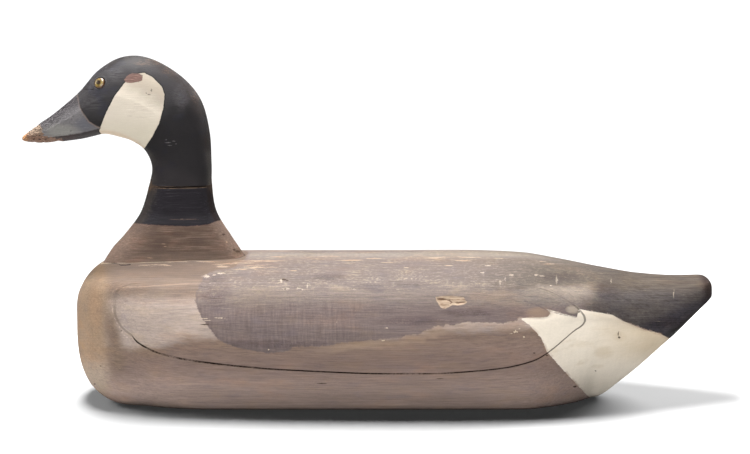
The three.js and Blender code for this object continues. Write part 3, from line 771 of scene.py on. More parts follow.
def make_eye(name, place, look):
    """A low glass dome on a short stem, turned about the way that the eye looks."""
    angles = np.linspace(0, math.pi / 2, 15)
    outline = EYE_STEM + [(EYE_RADIUS * math.cos(a), EYE_BULGE * math.sin(a)) for a in angles[:-1]]
    turn = np.linspace(0, 2 * math.pi, 64, endpoint=False)
    right = unit(np.cross(look, (0, 0, 1)))
    up = np.cross(right, look)
    around = np.cos(turn)[:, None] * right + np.sin(turn)[:, None] * up
    rings = np.array([place + radius * around + height * look for radius, height in outline])
    poles = np.array([place + look * outline[0][1], place + look * EYE_BULGE])
    return lofted(name, rings, poles)


center_block = make_center_block()
left_board = make_side_board("left_board", side=-1, spacing=0.8, damage=gouge)
right_board = make_side_board("right_board", side=1, spacing=1.3)
head, neck_base = make_neck_and_head()
left_eye = make_eye("glass_eye_left", *eyes["eye_left"])
right_eye = make_eye("glass_eye_right", *eyes["eye_right"])


def foot_outline():
    """The rim of the neck's sawn foot, seen from above."""
    points = points_of(neck_base)
    off_plane = (points - seat_middle) @ seat_normal - GLUE_LINE
    rim = points[np.abs(off_plane) < 0.01][:, :2]
    turn = np.arctan2(rim[:, 1], rim[:, 0] - seat_middle[0])
    return rim[np.argsort(turn)]


# How far below the foot the back is let down, and how far inside the foot's edge that begins and ends
SEAT_ROOM = 0.4
SEAT_EDGE = (0.6, 3.2)


def seat_the_neck():
    """Lets the back down under the neck's foot, so that the foot's edge meets the paint all round."""
    points = points_of(center_block)
    inside = depth_inside(points[:, :2], foot_outline())
    above = (points - seat_middle) @ seat_normal
    sunk = np.maximum(above + SEAT_ROOM, 0) * step(inside, *SEAT_EDGE) * (points[:, 2] > BREAST_POINT_HEIGHT)
    points[:, 2] -= sunk
    move_points(center_block, points)


seat_the_neck()

PIECES = (
    (center_block, "body_center", "painted_body"),
    (left_board, "side_board_left", "painted_side"),
    (right_board, "side_board_right", "painted_side"),
    (neck_base, "neck_base", "painted_neck"),
    (head, "head", "painted_head"),
    (left_eye, "eye_left", "eye_glass"),
    (right_eye, "eye_right", "eye_glass"),
)
for piece, node, slot in PIECES:
    smooth_but_sawn(piece)
    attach(piece, "root")
    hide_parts(node)


# Places on the paint, in the picture that the camera gives. Each is an outline or a line, in pixels.
MANTLE_OUTLINE = [
    (194.7, 300), (201, 317), (215, 336.6), (226, 343.7), (243, 349.3), (269.8, 353.5), (289.4, 350.7),
    (292, 346.5), (320, 346.5), (341, 343), (362, 340.8), (399.4, 338), (406, 336), (412, 334.4),
    (419.5, 334.2), (423, 331.3), (427, 329.4), (431.5, 330.6), (434, 327.5), (438.7, 325.4), (442.5, 327),
    (446, 324), (452, 325), (467, 321.9), (496.5, 323.3), (513, 321.9), (520, 317.7), (548, 317),
    (550.5, 312.8), (546, 309), (552, 310.6), (565, 314.4), (577, 317), (579, 309), (583, 310),
    (612.4, 315), (622.7, 321), (644.7, 329.7), (659.4, 333.4), (668.9, 338.5), (760, 352), (760, 200),
    (262, 200), (246, 258), (232, 268), (213, 270.5), (204, 276), (197.5, 287),
]
RUMP_OUTLINE = [
    (520.3, 318.4), (530, 325.4), (541.4, 338), (547, 352), (561, 367.5), (576.4, 384.3), (589, 397),
    (604, 414), (760, 414), (760, 352), (668.9, 338.5), (659.4, 333.4), (644.7, 329.7), (622.7, 321),
    (612.4, 315), (583, 310), (579, 309), (577, 317), (565, 314.4), (552, 310.6), (546, 309),
    (550.5, 312.8), (548, 317),
]
TAIL_UNDERSIDE_EDGE = [(713, 292), (703.7, 300.4), (697.4, 306.7), (690.5, 311.8), (680, 321), (659, 334)]
PALE_SEAM_LINE = [
    (131.4, 342), (122.6, 333), (113.6, 316), (110.6, 302), (111.6, 292.6), (117.4, 287.8), (194, 283.4),
    (290, 282.6),
]
FOOT_CRACK = [(99, 260), (104, 261.4), (110, 262.6), (116, 263.2), (121, 265.2), (126, 265.2), (131, 264.4)]
NECK_PAINT_BORDER = [
    (100, 221), (135, 223.3), (158, 225.3), (187, 226.3), (207, 224.8), (217, 221), (240, 216),
]
CHEEK_OUTLINE = [
    (139.3, 73.4), (144.3, 72.8), (152.6, 77.3), (161.7, 86.4), (164.5, 94.7), (163.3, 107.9),
    (159.2, 122.9), (152.6, 136.1), (145.9, 146.1), (139, 156), (120, 150), (104, 138), (99.2, 131),
    (100.8, 126.2), (106.1, 112.9), (114.4, 96.3), (124.4, 83.1), (131, 77.5),
]
BARE_CHEEK_OUTLINE = [
    (124.2, 80), (125.8, 76.8), (131, 73.6), (138.5, 73.6), (143, 76), (142, 80.6), (137, 82.4),
    (130, 82.9), (126, 82.6),
]
BILL_OUTLINE = [(0, 40), (75, 40), *FACE_LINE, (103, 134), (103, 160), (0, 160)]
LOWER_BILL_OUTLINE = [*MOUTH_LINE, (103, 134), (60, 150), (20, 150), (20, 138.6)]

# Worn places and marks on the left side and the back: middle across and down, half length and half height
BARE_STREAKS = [
    (150, 265.2, 12, 1.2), (166, 265, 7, 1.0), (176, 261.8, 16, 0.6), (206, 261.8, 13, 0.6),
    (233, 263, 18, 1.3), (262, 261, 24, 0.9), (256, 266.6, 19, 1.9), (240, 269, 9, 0.9),
    (222, 266, 12, 1.4), (350, 260.4, 16, 1.0), (294, 270.6, 4, 0.8), (316, 262, 12, 0.4),
    (374, 258.6, 12, 0.5), (388, 262.6, 9, 0.4), (452, 257.2, 32, 1.1), (450, 253.8, 8, 0.8),
    (463, 260.6, 14, 0.9), (488, 264, 8, 1.4), (406, 268, 3, 1.0), (449, 266, 5, 1.0), (500, 258, 9, 0.5),
    (523, 262, 8, 0.6), (548, 264, 10, 0.5), (330, 256, 22, 0.4), (276, 256.6, 12, 0.5),
]
PALE_FLAKES = [
    (286.4, 288.8, 4.6, 1.9), (299, 288.6, 3.4, 1.2), (303, 289.6, 1.6, 1.0), (281, 281, 2.0, 1.8),
    (307.4, 285.4, 0.9, 3.2), (206.5, 276.4, 4.4, 1.8), (221, 273.4, 5, 1.1), (214, 275, 3, 0.7),
    (515.4, 332, 3.0, 1.7), (511, 333.6, 1.8, 1.1), (519.5, 328.6, 1.4, 0.9), (524, 337, 1.4, 1.2),
    (337, 321.5, 1.1, 0.9), (383, 340.4, 2.2, 0.7), (269, 349.8, 1.0, 1.2), (387, 328, 2, 0.5),
    (203, 318.4, 7, 0.5), (220, 318, 6, 0.6), (207, 320.6, 6, 0.4), (488, 265.6, 4, 0.6),
    (482, 272.6, 3, 0.8), (511, 275, 3.4, 0.7), (536, 275, 2, 1.0), (550.6, 285.6, 2, 0.6),
    (399, 289.4, 4, 0.5), (353, 289, 3, 0.8),
]
FAINT_TICKS = [
    (500, 283, 1.2, 4), (556.5, 279.6, 1.4, 5), (674, 294, 1.2, 5.5), (542, 276, 3, 1), (505, 279, 1, 3),
    (611, 281, 1, 3),
]
DARK_MARKS = [
    (204.6, 324.4, 5.0, 0.7), (619, 337.4, 1.6, 1.2), (618.6, 333.5, 0.7, 3), (440, 378.6, 5, 0.4),
    (322, 383.4, 6, 0.5), (284, 279.6, 2.6, 1.1), (287, 280.6, 2, 0.8), (120.6, 330.6, 0.9, 0.9),
    (100.5, 366, 0.8, 0.6), (94.6, 384, 1.2, 0.7), (534, 353, 1.4, 0.8), (575, 386.6, 2.4, 1.2),
    (547, 355.6, 1.2, 1), (596, 371, 0.9, 0.7), (578.8, 312, 1.1, 1.2), (285, 289, 1.6, 0.8),
]
RUMP_LINE = [(524.5, 301), (538, 305.8), (550.5, 311.4), (560, 314), (576, 317)]
# Broad soft tints: middle across and down, half length and half height
WARM_TINTS = [(95, 308, 9, 30), (100, 272, 9, 12), (250, 263, 48, 5)]
OLIVE_TINTS = [
    (98, 268, 8, 10), (150, 350, 24, 10), (372, 344, 46, 5), (258, 300, 34, 18), (470, 258, 80, 8),
]
# darker spots, partly the paint's own dark patches and partly painted shade
DARK_PATCHES_AND_SHADE = [
    (214, 292, 22, 22), (270, 344, 78, 5.5), (420, 321, 50, 6), (560, 276, 28, 6), (606, 291, 18, 12),
    (668, 322, 30, 6), (706, 300, 8, 12), (468, 313, 34, 5), (330, 277, 24, 5),
]
# paler spots, partly paler paint and partly painted light
PALE_PATCHES_AND_LIGHT = [
    (188, 326, 24, 10), (588, 312, 14, 5), (84, 352, 8, 40), (640, 282, 28, 5), (560, 262, 60, 5),
    (640, 313, 16, 6),
]
TAN_TONGUE = [(539, 313, 17, 7)]
PALE_SMEAR = [(573, 309.6, 8, 5)]
SCRAPED = [
    (238, 264.5, 56, 5), (158, 263.6, 24, 2.4), (352, 260.4, 24, 2), (450, 257, 48, 4), (540, 262, 30, 3),
]
COMBED = [(374, 281, 13, 8), (412, 276, 22, 6)]


def srgb(red, green, blue):
    """A colour given as it shows, from 0 to 255, as the linear colour that a shader takes."""
    shown = np.array([red, green, blue]) / 255
    linear = np.where(shown < 0.04045, shown / 12.92, ((shown + 0.055) / 1.055) ** 2.4)
    return (*linear.tolist(), 1)


# The places of a Mix node's share and two colours among its inputs, and of its colour among its outputs
MIX_INPUTS = (0, 6, 7)
MIX_OUTPUT = 2


class Nodes:
    """The shader nodes of a material or a world, with short calls to make and join them."""

    def __init__(self, owner):
        owner.use_nodes = True
        self.tree = owner.node_tree

    def feed(self, socket, value):
        if isinstance(value, bpy.types.NodeSocket):
            self.tree.links.new(value, socket)
        elif value is not None:
            socket.default_value = value

    def node(self, kind, *inputs, **settings):
        made = self.tree.nodes.new("ShaderNode" + kind)
        for name, value in settings.items():
            setattr(made, name, value)
        for socket, value in zip(made.inputs, inputs):
            self.feed(socket, value)
        return made

    def blend(self, share, *surfaces):
        """One surface passing into another as far as share says."""
        return self.node("MixShader", share, *(surface.outputs[0] for surface in surfaces)).outputs[0]


class Paint(Nodes):
    """A material's nodes, with a short call for each kind that the finishes use."""

    def __init__(self, name):
        self.material = bpy.data.materials.new(name)
        super().__init__(self.material)
        self.shader = self.tree.nodes["Principled BSDF"]
        self.place = self.node("TexCoord").outputs["Object"]
        _, *parts = self.node("SeparateXYZ", self.place).outputs
        self.y, self.z = (self.math("DIVIDE", part, MM) for part in parts)
        self.beside = self.math("ABSOLUTE", self.y)
        self.across, self.down = self.kept("across"), self.kept("down")

    def kept(self, name):
        """A number that the mesh keeps on its vertices."""
        return self.node("Attribute", attribute_name=name).outputs["Fac"]

    def math(self, operation, *inputs):
        return self.node("Math", *inputs, operation=operation).outputs[0]

    def plus(self, value, *others):
        """value with others added, each given as a number, or as a number and how many times it counts."""
        for other in others:
            other, times = other if isinstance(other, tuple) else (other, 1)
            value = self.math("MULTIPLY_ADD", other, times, value)
        return value

    def times(self, *values):
        total = values[0]
        for value in values[1:]:
            total = self.math("MULTIPLY", total, value)
        return total

    def ramp(self, value, low, high, bottom=0, top=1):
        """Runs smoothly from bottom to top while value runs from low to high."""
        made = self.node("MapRange", value, low, high, bottom, top, interpolation_type="SMOOTHSTEP")
        return made.outputs[0]

    def near(self, value, middle, reach, share=0.5):
        """1 where value is within a share of reach from middle, falling to 0 at the whole of it."""
        return self.ramp(self.math("ABSOLUTE", self.math("SUBTRACT", value, middle)), reach, reach * share)

    def cells(self, vector, detail, roughness):
        made = self.node("TexNoise")
        settings = {"Vector": vector.outputs[0], "Scale": 1, "Detail": detail, "Roughness": roughness}
        for name, value in settings.items():
            self.feed(made.inputs[name], value)
        return self.math("SUBTRACT", made.outputs["Fac"], 0.5)

    def noise(self, size, detail=3, roughness=0.55, shift=0):
        """Noise about 0, within 0.5 of it, with cells of one size in mm or of three along X, Y and Z."""
        sizes = np.broadcast_to(size, 3) * MM
        scaled = self.node("Mapping", self.place, (shift, shift, shift), (0, 0, 0), (1 / sizes).tolist())
        return self.cells(scaled, detail, roughness)

    def flat_noise(self, length, height, detail=3, roughness=0.6):
        """Noise about 0 with cells of a length and height in the picture's pixels."""
        u = self.math("DIVIDE", self.across, length)
        v = self.math("DIVIDE", self.down, height)
        return self.cells(self.node("CombineXYZ", u, v), detail, roughness)

    def over(self, color, *layers):
        """Layers laid over the colour one after another, each given as how far it covers and its colour."""
        for share, layer in zip(layers[::2], layers[1::2]):
            mix = self.node("Mix", data_type="RGBA", clamp_factor=True)
            for socket, value in zip(MIX_INPUTS, (share, color, layer)):
                self.feed(mix.inputs[socket], value)
            color = mix.outputs[MIX_OUTPUT]
        return color

    def tone(self, color, brightness):
        """The colour made brighter or darker."""
        made = self.node("VectorMath", operation="SCALE")
        self.feed(made.inputs[0], color)
        self.feed(made.inputs["Scale"], brightness)
        return made.outputs[0]

    def tinted(self, color, share, tint):
        """The colour multiplied by a tint of red, green and blue, as far as share says."""
        product = self.node("VectorMath", color, tint, operation="MULTIPLY").outputs[0]
        return self.over(color, share, product)

    def within(self, place, across, down):
        """Two coordinates that are 0 in a place's middle and 1 at its half length and half height."""
        parts = zip((across, down), place[:2], place[2:])
        return [self.math("MULTIPLY_ADD", value, 1 / half, -middle / half) for value, middle, half in parts]

    def marks(self, places, wobble=None):
        """How far inside the nearest of some spindle-shaped marks: 1 in its middle and below 0 outside."""
        across, down = self.across, self.down
        if wobble:
            across, down = self.plus(across, (wobble, 5)), self.plus(down, (wobble, 1.8))
        nearest = -1
        for place in places:
            u, v = self.within(place, across, down)
            out = self.plus(self.times(u, u), self.math("ABSOLUTE", v))
            nearest = self.math("MAXIMUM", nearest, self.math("SUBTRACT", 1, out))
        return nearest

    def spots(self, places, wobble=None):
        """1 in the middle of some broad spots, falling softly to 0 at their edges."""
        total = 0
        for place in places:
            u, v = self.within(place, self.across, self.down)
            out = self.plus(self.times(u, u), self.times(v, v))
            total = self.math("MAXIMUM", total, self.ramp(self.plus(out, wobble) if wobble else out, 1, 0))
        return total

    def finish(self, color, roughness, height, depth, gloss=0.02):
        """Sets the colour, the roughness, a relief of that depth in mm, and how much it mirrors."""
        self.shader.inputs["Specular IOR Level"].default_value = gloss
        self.feed(self.shader.inputs["Base Color"], color)
        self.feed(self.shader.inputs["Roughness"], roughness)
        bump = self.node("Bump")
        bump.inputs["Distance"].default_value = depth * MM
        self.feed(bump.inputs["Height"], height)
        self.feed(self.shader.inputs["Normal"], bump.outputs[0])
        return self.material


WARM, OLIVE, COOL = (1.06, 0.99, 0.93), (1.02, 1.0, 0.94), (0.95, 0.97, 1.03)
# painted shade darkens the top, shoulder and under-ridge browns, and painted light lifts the foot brown
BROWN_TOP = srgb(88, 76, 68)
BROWN_SHOULDER = srgb(106, 93, 84)
BROWN_SIDE = srgb(152, 138, 129)
BROWN_RIDGE = srgb(115, 98, 88)
BROWN_UNDER = srgb(118, 101, 93)
BROWN_FOOT = srgb(154, 135, 126)
# the breast's darker top and band are painted shade, and its paler low tone is painted light
BREAST_TAN = srgb(137, 117, 98)
BREAST_TOP = srgb(86, 74, 63)
BREAST_LOW = srgb(156, 140, 125)
BREAST_BAND = srgb(113, 97, 85)
MANTLE = srgb(115, 104, 99)
MANTLE_AFT = srgb(117, 107, 99)
# the two high mantle tones are painted shade across the shoulder
MANTLE_HIGH = srgb(93, 84, 80)
MANTLE_HIGH_AFT = srgb(78, 71, 65)
MANTLE_CROWN = srgb(110, 102, 96)
MANTLE_WORN = srgb(122, 112, 101)
MANTLE_DEEP = srgb(86, 77, 76)
MANTLE_LOW = srgb(106, 94, 91)
TAIL_TOP = srgb(72, 65, 59)
TAIL_SIDE = srgb(68, 63, 61)
TAIL_DARK = srgb(52, 49, 52)
# painted shade: the tail's black, darker, for the strip under it
TAIL_UNDER = srgb(28, 25, 24)
RUMP_WHITE = srgb(208, 198, 183)
RUMP_TAN = srgb(180, 165, 143)
BARE_WOOD = srgb(142, 129, 113)
ORANGE_WOOD = srgb(141, 117, 97)
FRESH_WOOD = srgb(160, 141, 122)
OLD_WOOD = srgb(125, 102, 84)
PALE_FLAKE = srgb(158, 146, 132)
LOW_FLAKE = srgb(190, 174, 152)
# dark dirt; the body also uses it for painted shadow round the neck's foot and along the bottom edge
DIRT_AND_SHADE = srgb(52, 40, 34)
CRACK = srgb(20, 14, 11)
# painted shade for the tail's end face
TAIL_END = srgb(42, 35, 34)
RUBBED_BROWN = srgb(136, 119, 107)
SMUDGE_BROWN = srgb(132, 104, 86)
TONGUE_TAN = srgb(132, 112, 98)
SMEAR_GREY = srgb(150, 139, 125)
SPLIT_BROWN = srgb(80, 56, 40)

# Where the body's tones pass into one another in the picture, in pixels across or down, or across a slant
BODY_AT = SimpleNamespace(
    shoulder=(272, 292), side=(291, 306), front_dip=(200, 140), rear_dip=(380, 460), ridge=(333, 344),
    under=(342, 362), foot=(362, 396), breast_top=(292, 270), breast_low=(350, 378), breast_end=(116, 100),
    band_slant=(322, 362, 111, 118), band_start=(292, 330), band_end=(384, 360), worn_top=(314, 292),
    aft=(585, 690), mantle_middle=(312, 298), mantle_high=(293, 281), mantle_crown=(262, 252),
    fewer_flecks=(560, 470), fleck_rows=(260, 296), rib_end=(430, 330), rim_end=(320, 290),
    tail_side=(283, 298), tail_dark=(609, 620), tail_end=(613, 622), tail_start=(716, 760),
    strip_start=(655, 675), tan_start=(580, 650), tan_rows=(372, 344), rubbed_start=(300, 350),
    rubbed_rows=(318, 326), smudge_rows=(312, 340), low_flakes=(300, 324), pale_line=(200, 262),
    foot_bare=(215, 190), foot_shadow=(180, 240),
)
RUMP_STAINS = [(620, 337, 9, 6), (604, 352, 12, 8)]
COMB_SPACING = 4.4


def body_paint(name):
    """Brown sides and breast, a grey-brown mantle brushed over the back, a dark tail and a white rump."""
    p, at = Paint(name), BODY_AT
    across, down = p.across, p.down
    grain = p.noise((90, 2.2, 2.2), detail=5, roughness=0.7)
    hair = p.noise((18, 0.8, 0.8), detail=3, roughness=0.65)
    fleck = p.flat_noise(4.5, 1.3)
    streak = p.flat_noise(26, 1.0)
    blotch = p.noise((60, 40, 24), detail=5, roughness=0.6)
    cloud = p.noise((24, 18, 11), detail=4, roughness=0.6, shift=3)
    speck = p.noise(1.3, detail=3, roughness=0.75)
    ragged = p.noise(6, detail=5, roughness=0.7)
    upright = p.noise((2.3, 60, 20), detail=4, roughness=0.6)
    brushed = p.noise((34, 9, 2.6), detail=5, roughness=0.75, shift=5)
    left = p.ramp(p.y, 14, -14)

    # brown, darker over the shoulder and below the ridge, and paler low down
    # painted shade on the shoulder, deeper brown with painted shade under the ridge, painted light low down
    row = p.plus(down, (blotch, 10), (cloud, 7))
    brown = p.over(BROWN_TOP, p.ramp(row, *at.shoulder), BROWN_SHOULDER)
    brown = p.over(brown, p.ramp(row, *at.side), BROWN_SIDE)
    dips = (p.ramp(across, *at.front_dip), -9), (p.ramp(across, *at.rear_dip), 10)
    low_row = p.plus(down, (cloud, 14), (blotch, 10), *dips)
    brown = p.over(
        brown,
        p.ramp(low_row, *at.ridge), BROWN_RIDGE,
        p.ramp(low_row, *at.under), BROWN_UNDER,
        p.ramp(p.plus(down, (blotch, 10)), *at.foot), BROWN_FOOT,
    )

    # the breast, tan, with a darker band behind it that widens downwards
    # painted shade on the breast's top and in the band where it turns to the side, painted light low down
    breast = p.over(BREAST_TAN, p.ramp(row, *at.breast_top), BREAST_TOP)
    breast = p.over(breast, p.ramp(row, *at.breast_low), BREAST_LOW)
    brown = p.over(brown, p.ramp(p.plus(across, (blotch, 10), (cloud, 8)), *at.breast_end), breast)
    behind = p.math("SUBTRACT", across, p.ramp(down, *at.band_slant))
    band = p.near(p.plus(behind, (cloud, 8)), 0, 13, 0.1)
    band = p.times(band, p.ramp(down, *at.band_start), p.ramp(down, *at.band_end))
    brown = p.over(brown, band, BREAST_BAND)

    # the mantle: flecked with wear over the top, streaked downwards lower down, and darker high up behind
    edge = p.plus(p.kept("mantle"), (ragged, 7), (speck, 3))
    top = p.ramp(p.plus(down, (cloud, 34), (brushed, 22)), *at.worn_top)
    worked_row = p.plus(down, (cloud, 14), (brushed, 9))
    slant = p.plus(across, (down, 0.5), (blotch, 50), (brushed, 36))
    aft = p.ramp(slant, *at.aft)
    # the band high up is painted shade across the shoulder, darker behind
    mantle = p.over(
        MANTLE_LOW,
        p.ramp(worked_row, *at.mantle_middle), p.over(MANTLE, aft, MANTLE_AFT),
        p.ramp(worked_row, *at.mantle_high), p.over(MANTLE_HIGH, aft, MANTLE_HIGH_AFT),
        p.ramp(p.plus(down, (cloud, 8)), *at.mantle_crown), MANTLE_CROWN,
    )
    flecks = p.ramp(p.plus(fleck, (speck, 0.4), (cloud, 0.5), (streak, 0.3)), 0, 0.2)
    flecks = p.times(flecks, top, p.ramp(across, *at.fewer_flecks, 0.3, 0.75))
    flecks = p.times(flecks, p.ramp(down, *at.fleck_rows, 0.45, 1))
    mantle = p.over(mantle, flecks, MANTLE_WORN)
    ribs = p.times(upright, p.math("SUBTRACT", 1, top), p.ramp(across, *at.rib_end))
    mantle = p.tone(mantle, p.plus(1, (ribs, 0.8), (fleck, 0.3)))
    rim = p.times(p.ramp(p.plus(p.kept("mantle"), (cloud, 6)), 4, 1), p.ramp(across, *at.rim_end))
    mantle = p.over(mantle, p.times(rim, 0.35), MANTLE_DEEP)
    tail = p.over(TAIL_TOP, p.ramp(p.plus(down, (brushed, 12)), *at.tail_side), TAIL_SIDE)
    tail = p.over(tail, p.ramp(p.plus(down, (across, 0.45), (brushed, 16)), *at.tail_dark), TAIL_DARK)
    tail = p.tone(tail, p.plus(1, (brushed, 1.1), (grain, 0.5), (streak, 0.8)))
    # painted shade on the tail's end face
    end = p.ramp(p.plus(across, (down, -0.3), (ragged, 6)), *at.tail_end)
    tail = p.over(tail, p.times(end, 0.85), TAIL_END)
    mantle = p.over(mantle, p.ramp(slant, *at.tail_start), tail)
    # darker spots: partly dark patches of paint, partly painted shade
    dark = p.spots(DARK_PATCHES_AND_SHADE, p.plus(cloud, (brushed, 1.2)))
    dark = p.times(dark, p.ramp(p.plus(brushed, speck), -0.14, 0.04))
    mantle = p.tinted(mantle, dark, (0.7, 0.68, 0.71))
    # the strip under the tail in a darker copy of its black: painted shade on the downward face
    strip = p.ramp(p.kept("tail_underside"), 0, 7)
    mantle = p.over(mantle, p.times(strip, p.ramp(across, *at.strip_start)), TAIL_UNDER)
    combed = p.plus(across, (down, 0.5), (cloud, 26), (fleck, 5))
    combed = p.math("SINE", p.times(combed, 2 * math.pi / COMB_SPACING))
    combed = p.times(p.ramp(combed, 0.3, 0.95), p.spots(COMBED, fleck), left)
    combed = p.times(combed, p.ramp(streak, -0.1, 0.12, 0, 0.36))
    mantle = p.over(mantle, combed, PALE_FLAKE)

    # the white rump, with tan stains
    tan = p.times(p.ramp(p.plus(across, (blotch, 50)), *at.tan_start), p.ramp(down, *at.tan_rows))
    rump = p.over(
        RUMP_WHITE,
        tan, RUMP_TAN,
        p.ramp(p.plus(blotch, (cloud, 0.6)), 0.05, 0.25, 0, 0.5), RUMP_TAN,
        p.times(p.spots(RUMP_STAINS, cloud), 0.6), RUMP_TAN,
    )
    rump = p.tone(rump, p.plus(1, (speck, 0.1), (cloud, 0.12), (upright, 0.1)))
    rump_edge = p.plus(p.kept("rump"), (ragged, 2.6), (speck, 1.2))

    # outside the mantle's lower edge the brown is rubbed paler
    rubbed = p.near(p.plus(p.kept("mantle"), (cloud, 12)), -3, 7, 0.2)
    rubbed = p.times(rubbed, p.ramp(across, *at.rubbed_start), p.ramp(down, *at.rubbed_rows))
    brown = p.over(brown, p.times(rubbed, 0.5), RUBBED_BROWN)
    color = p.over(brown, p.ramp(edge, -0.7, 0.7), mantle)
    color = p.tinted(color, p.times(p.spots(WARM_TINTS, cloud), 0.8), WARM)
    color = p.tinted(color, p.times(p.spots(OLIVE_TINTS, cloud), 0.8), OLIVE)
    color = p.tinted(color, p.ramp(blotch, 0.02, 0.2), WARM)
    color = p.tinted(color, p.ramp(cloud, 0.02, 0.2), OLIVE)
    color = p.tinted(color, p.ramp(cloud, -0.03, -0.2), COOL)
    # paler spots: partly paler paint, partly painted light
    color = p.tone(color, p.plus(1, (p.spots(PALE_PATCHES_AND_LIGHT, cloud), 0.12)))
    color = p.over(color, p.ramp(rump_edge, -0.35, 0.35), rump)
    smudge = p.near(p.plus(rump_edge, (cloud, 4)), 0.6, 2.4, 0.2)
    smudge = p.times(smudge, p.ramp(cloud, -0.05, 0.1), p.ramp(down, *at.smudge_rows))
    color = p.over(color, p.times(smudge, 0.45), SMUDGE_BROWN)

    # streaks of the grain and the brush
    is_rump = p.ramp(rump_edge, -0.3, 0.3)
    streaks = p.plus(p.times(grain, 0.7), (hair, 0.7), (streak, 0.3))
    streaks = p.plus(streaks, (blotch, 0.22), (cloud, 0.2), (speck, 0.3))
    color = p.tone(color, p.plus(1, p.times(streaks, p.plus(1, (is_rump, -0.8)))))

    # paint worn to the wood, flakes, the pale seam line and dark marks,
    # and painted shadow round the neck's foot and along the bottom edge
    frayed = p.plus(hair, (ragged, 0.5))
    bare = p.ramp(p.plus(p.marks(BARE_STREAKS, frayed), (streak, 6.5), (speck, 1.6)), 0.3, 0.9)
    scraped = p.times(p.spots(SCRAPED), p.ramp(p.plus(streak, (speck, 0.25)), 0.08, 0.16))
    bare = p.times(p.math("MAXIMUM", bare, scraped), left)
    wood = p.over(BARE_WOOD, p.ramp(p.plus(grain, (cloud, 0.7)), -0.05, 0.12), ORANGE_WOOD)
    color = p.over(color, p.times(bare, 0.85), wood)
    ticks = p.times(p.ramp(p.plus(p.marks(FAINT_TICKS, ragged), (speck, 3)), 0, 0.8), left, 0.4)
    color = p.over(color, ticks, PALE_FLAKE)
    flakes = p.times(p.ramp(p.plus(p.marks(PALE_FLAKES, ragged), (speck, 4), (hair, 2)), 0.2, 0.6), left)
    color = p.over(color, p.times(flakes, 0.8), p.over(PALE_FLAKE, p.ramp(down, *at.low_flakes), LOW_FLAKE))
    color = p.over(color, p.times(p.ramp(p.marks(DARK_MARKS, ragged), 0, 0.35), left, 0.85), DIRT_AND_SHADE)
    pale_line = p.times(p.ramp(p.kept("pale_line"), 1.0, 0.3), p.ramp(hair, -0.16, 0.02, 0.4, 0.9))
    color = p.over(color, p.times(pale_line, p.ramp(across, *at.pale_line, 1, 0.5)), p.tone(color, 1.4))
    color = p.over(color, p.times(p.spots(TAN_TONGUE, cloud), 0.95), TONGUE_TAN)
    rump_line = p.times(p.ramp(p.kept("rump_line"), 1.1, 0.4), p.ramp(hair, -0.1, 0.05), 0.6)
    color = p.over(color, rump_line, MANTLE_DEEP)
    smear = p.times(p.spots(PALE_SMEAR, p.plus(cloud, (fleck, 1.2))), p.ramp(is_rump, 1, 0), 0.8)
    color = p.over(color, smear, SMEAR_GREY)
    wear = p.ramp(p.plus(grain, (hair, 0.6), (speck, 0.3), (blotch, 0.3)), 0.26, 0.36)
    color = p.over(color, p.times(wear, p.ramp(p.z, 118, 134), 0.7), BARE_WOOD)
    foot = p.kept("foot")
    foot_bare = p.times(p.near(foot, 1.4, 2), p.ramp(hair, -0.1, 0.04), p.ramp(across, *at.foot_bare), 0.85)
    color = p.over(
        color,
        foot_bare, BARE_WOOD,
        # painted shadow round the neck's foot, stronger towards the back
        p.times(p.ramp(foot, 2, 0.5), p.ramp(across, *at.foot_shadow, 0.15, 0.95)), DIRT_AND_SHADE,
        p.times(p.ramp(p.plus(p.kept("foot_crack"), (hair, 1)), 0.62, 0.2), left), CRACK,
        # painted shade along the bottom edge
        p.times(p.ramp(p.z, 4, 0.5), 0.6), DIRT_AND_SHADE,
    )

    # the open seam
    from_seam = p.math("ABSOLUTE", p.math("SUBTRACT", p.beside, SEAM_Y))
    width = p.plus(0.62, (speck, 0.4), (cloud, 0.4))
    crack = p.times(p.ramp(p.math("DIVIDE", from_seam, width), 1, 0.7), p.kept("seam_dark"))
    color = p.over(color, crack, CRACK)

    # the scar
    inside_scar = p.ramp(p.plus(p.kept("scar"), (ragged, 1.2)), -0.3, 0.4)
    split = p.noise((10, 4, 1.3), detail=4, roughness=0.65)
    bared = p.over(FRESH_WOOD, p.ramp(split, 0.0, -0.14), OLD_WOOD)
    split_dark = p.times(p.ramp(p.plus(p.kept("scar_split"), (split, 6)), 1.0, 0.2), 0.85)
    bared = p.over(bared, split_dark, SPLIT_BROWN)
    color = p.over(color, inside_scar, bared)

    roughness = p.plus(0.74, (grain, 0.25), (is_rump, -0.08))
    worked = p.times(p.plus(grain, (hair, 0.6), (speck, 0.4)), p.plus(1, (is_rump, -0.6)))
    height = p.plus(p.times(worked, 0.8), (bare, -0.3), (flakes, -0.2), (crack, -1.2))
    return p.finish(color, roughness, height, depth=0.55)


BASE_BROWN = srgb(84, 69, 60)
BASE_PALE = srgb(106, 90, 80)
BASE_BLACK = srgb(35, 33, 36)
BLACK_WORN = srgb(58, 55, 57)
OLIVE_WORN = srgb(53, 49, 46)
EDGE_BROWN = srgb(34, 27, 25)
BLACK_FOOT = srgb(50, 48, 51)
JOINT_LIP = srgb(102, 86, 72)
RUBBED_BASE = srgb(84, 68, 54)
HEEL_OLIVE = srgb(66, 57, 42)
# Where the neck's tones pass into one another in the picture, in pixels across or down
NECK_AT = SimpleNamespace(
    front=(160, 125), heel=(196, 222), foot=(248, 257), middle=(168, 190), black_foot=(210, 220),
)
NECK_DENTS = [(224, 234.6, 2.2, 1.2), (237.6, 251.4, 2.6, 1.4), (234, 249.6, 1.4, 1.4), (203, 261, 6, 0.5)]
HEEL_STAIN = [(238, 252, 7, 5)]
NECK_BARE = [
    (227, 242.2, 1.5, 1.2), (164, 244, 3, 0.5), (165, 246.4, 2.6, 0.5), (184, 219.4, 17, 0.5),
    (150, 258, 4, 0.5),
]


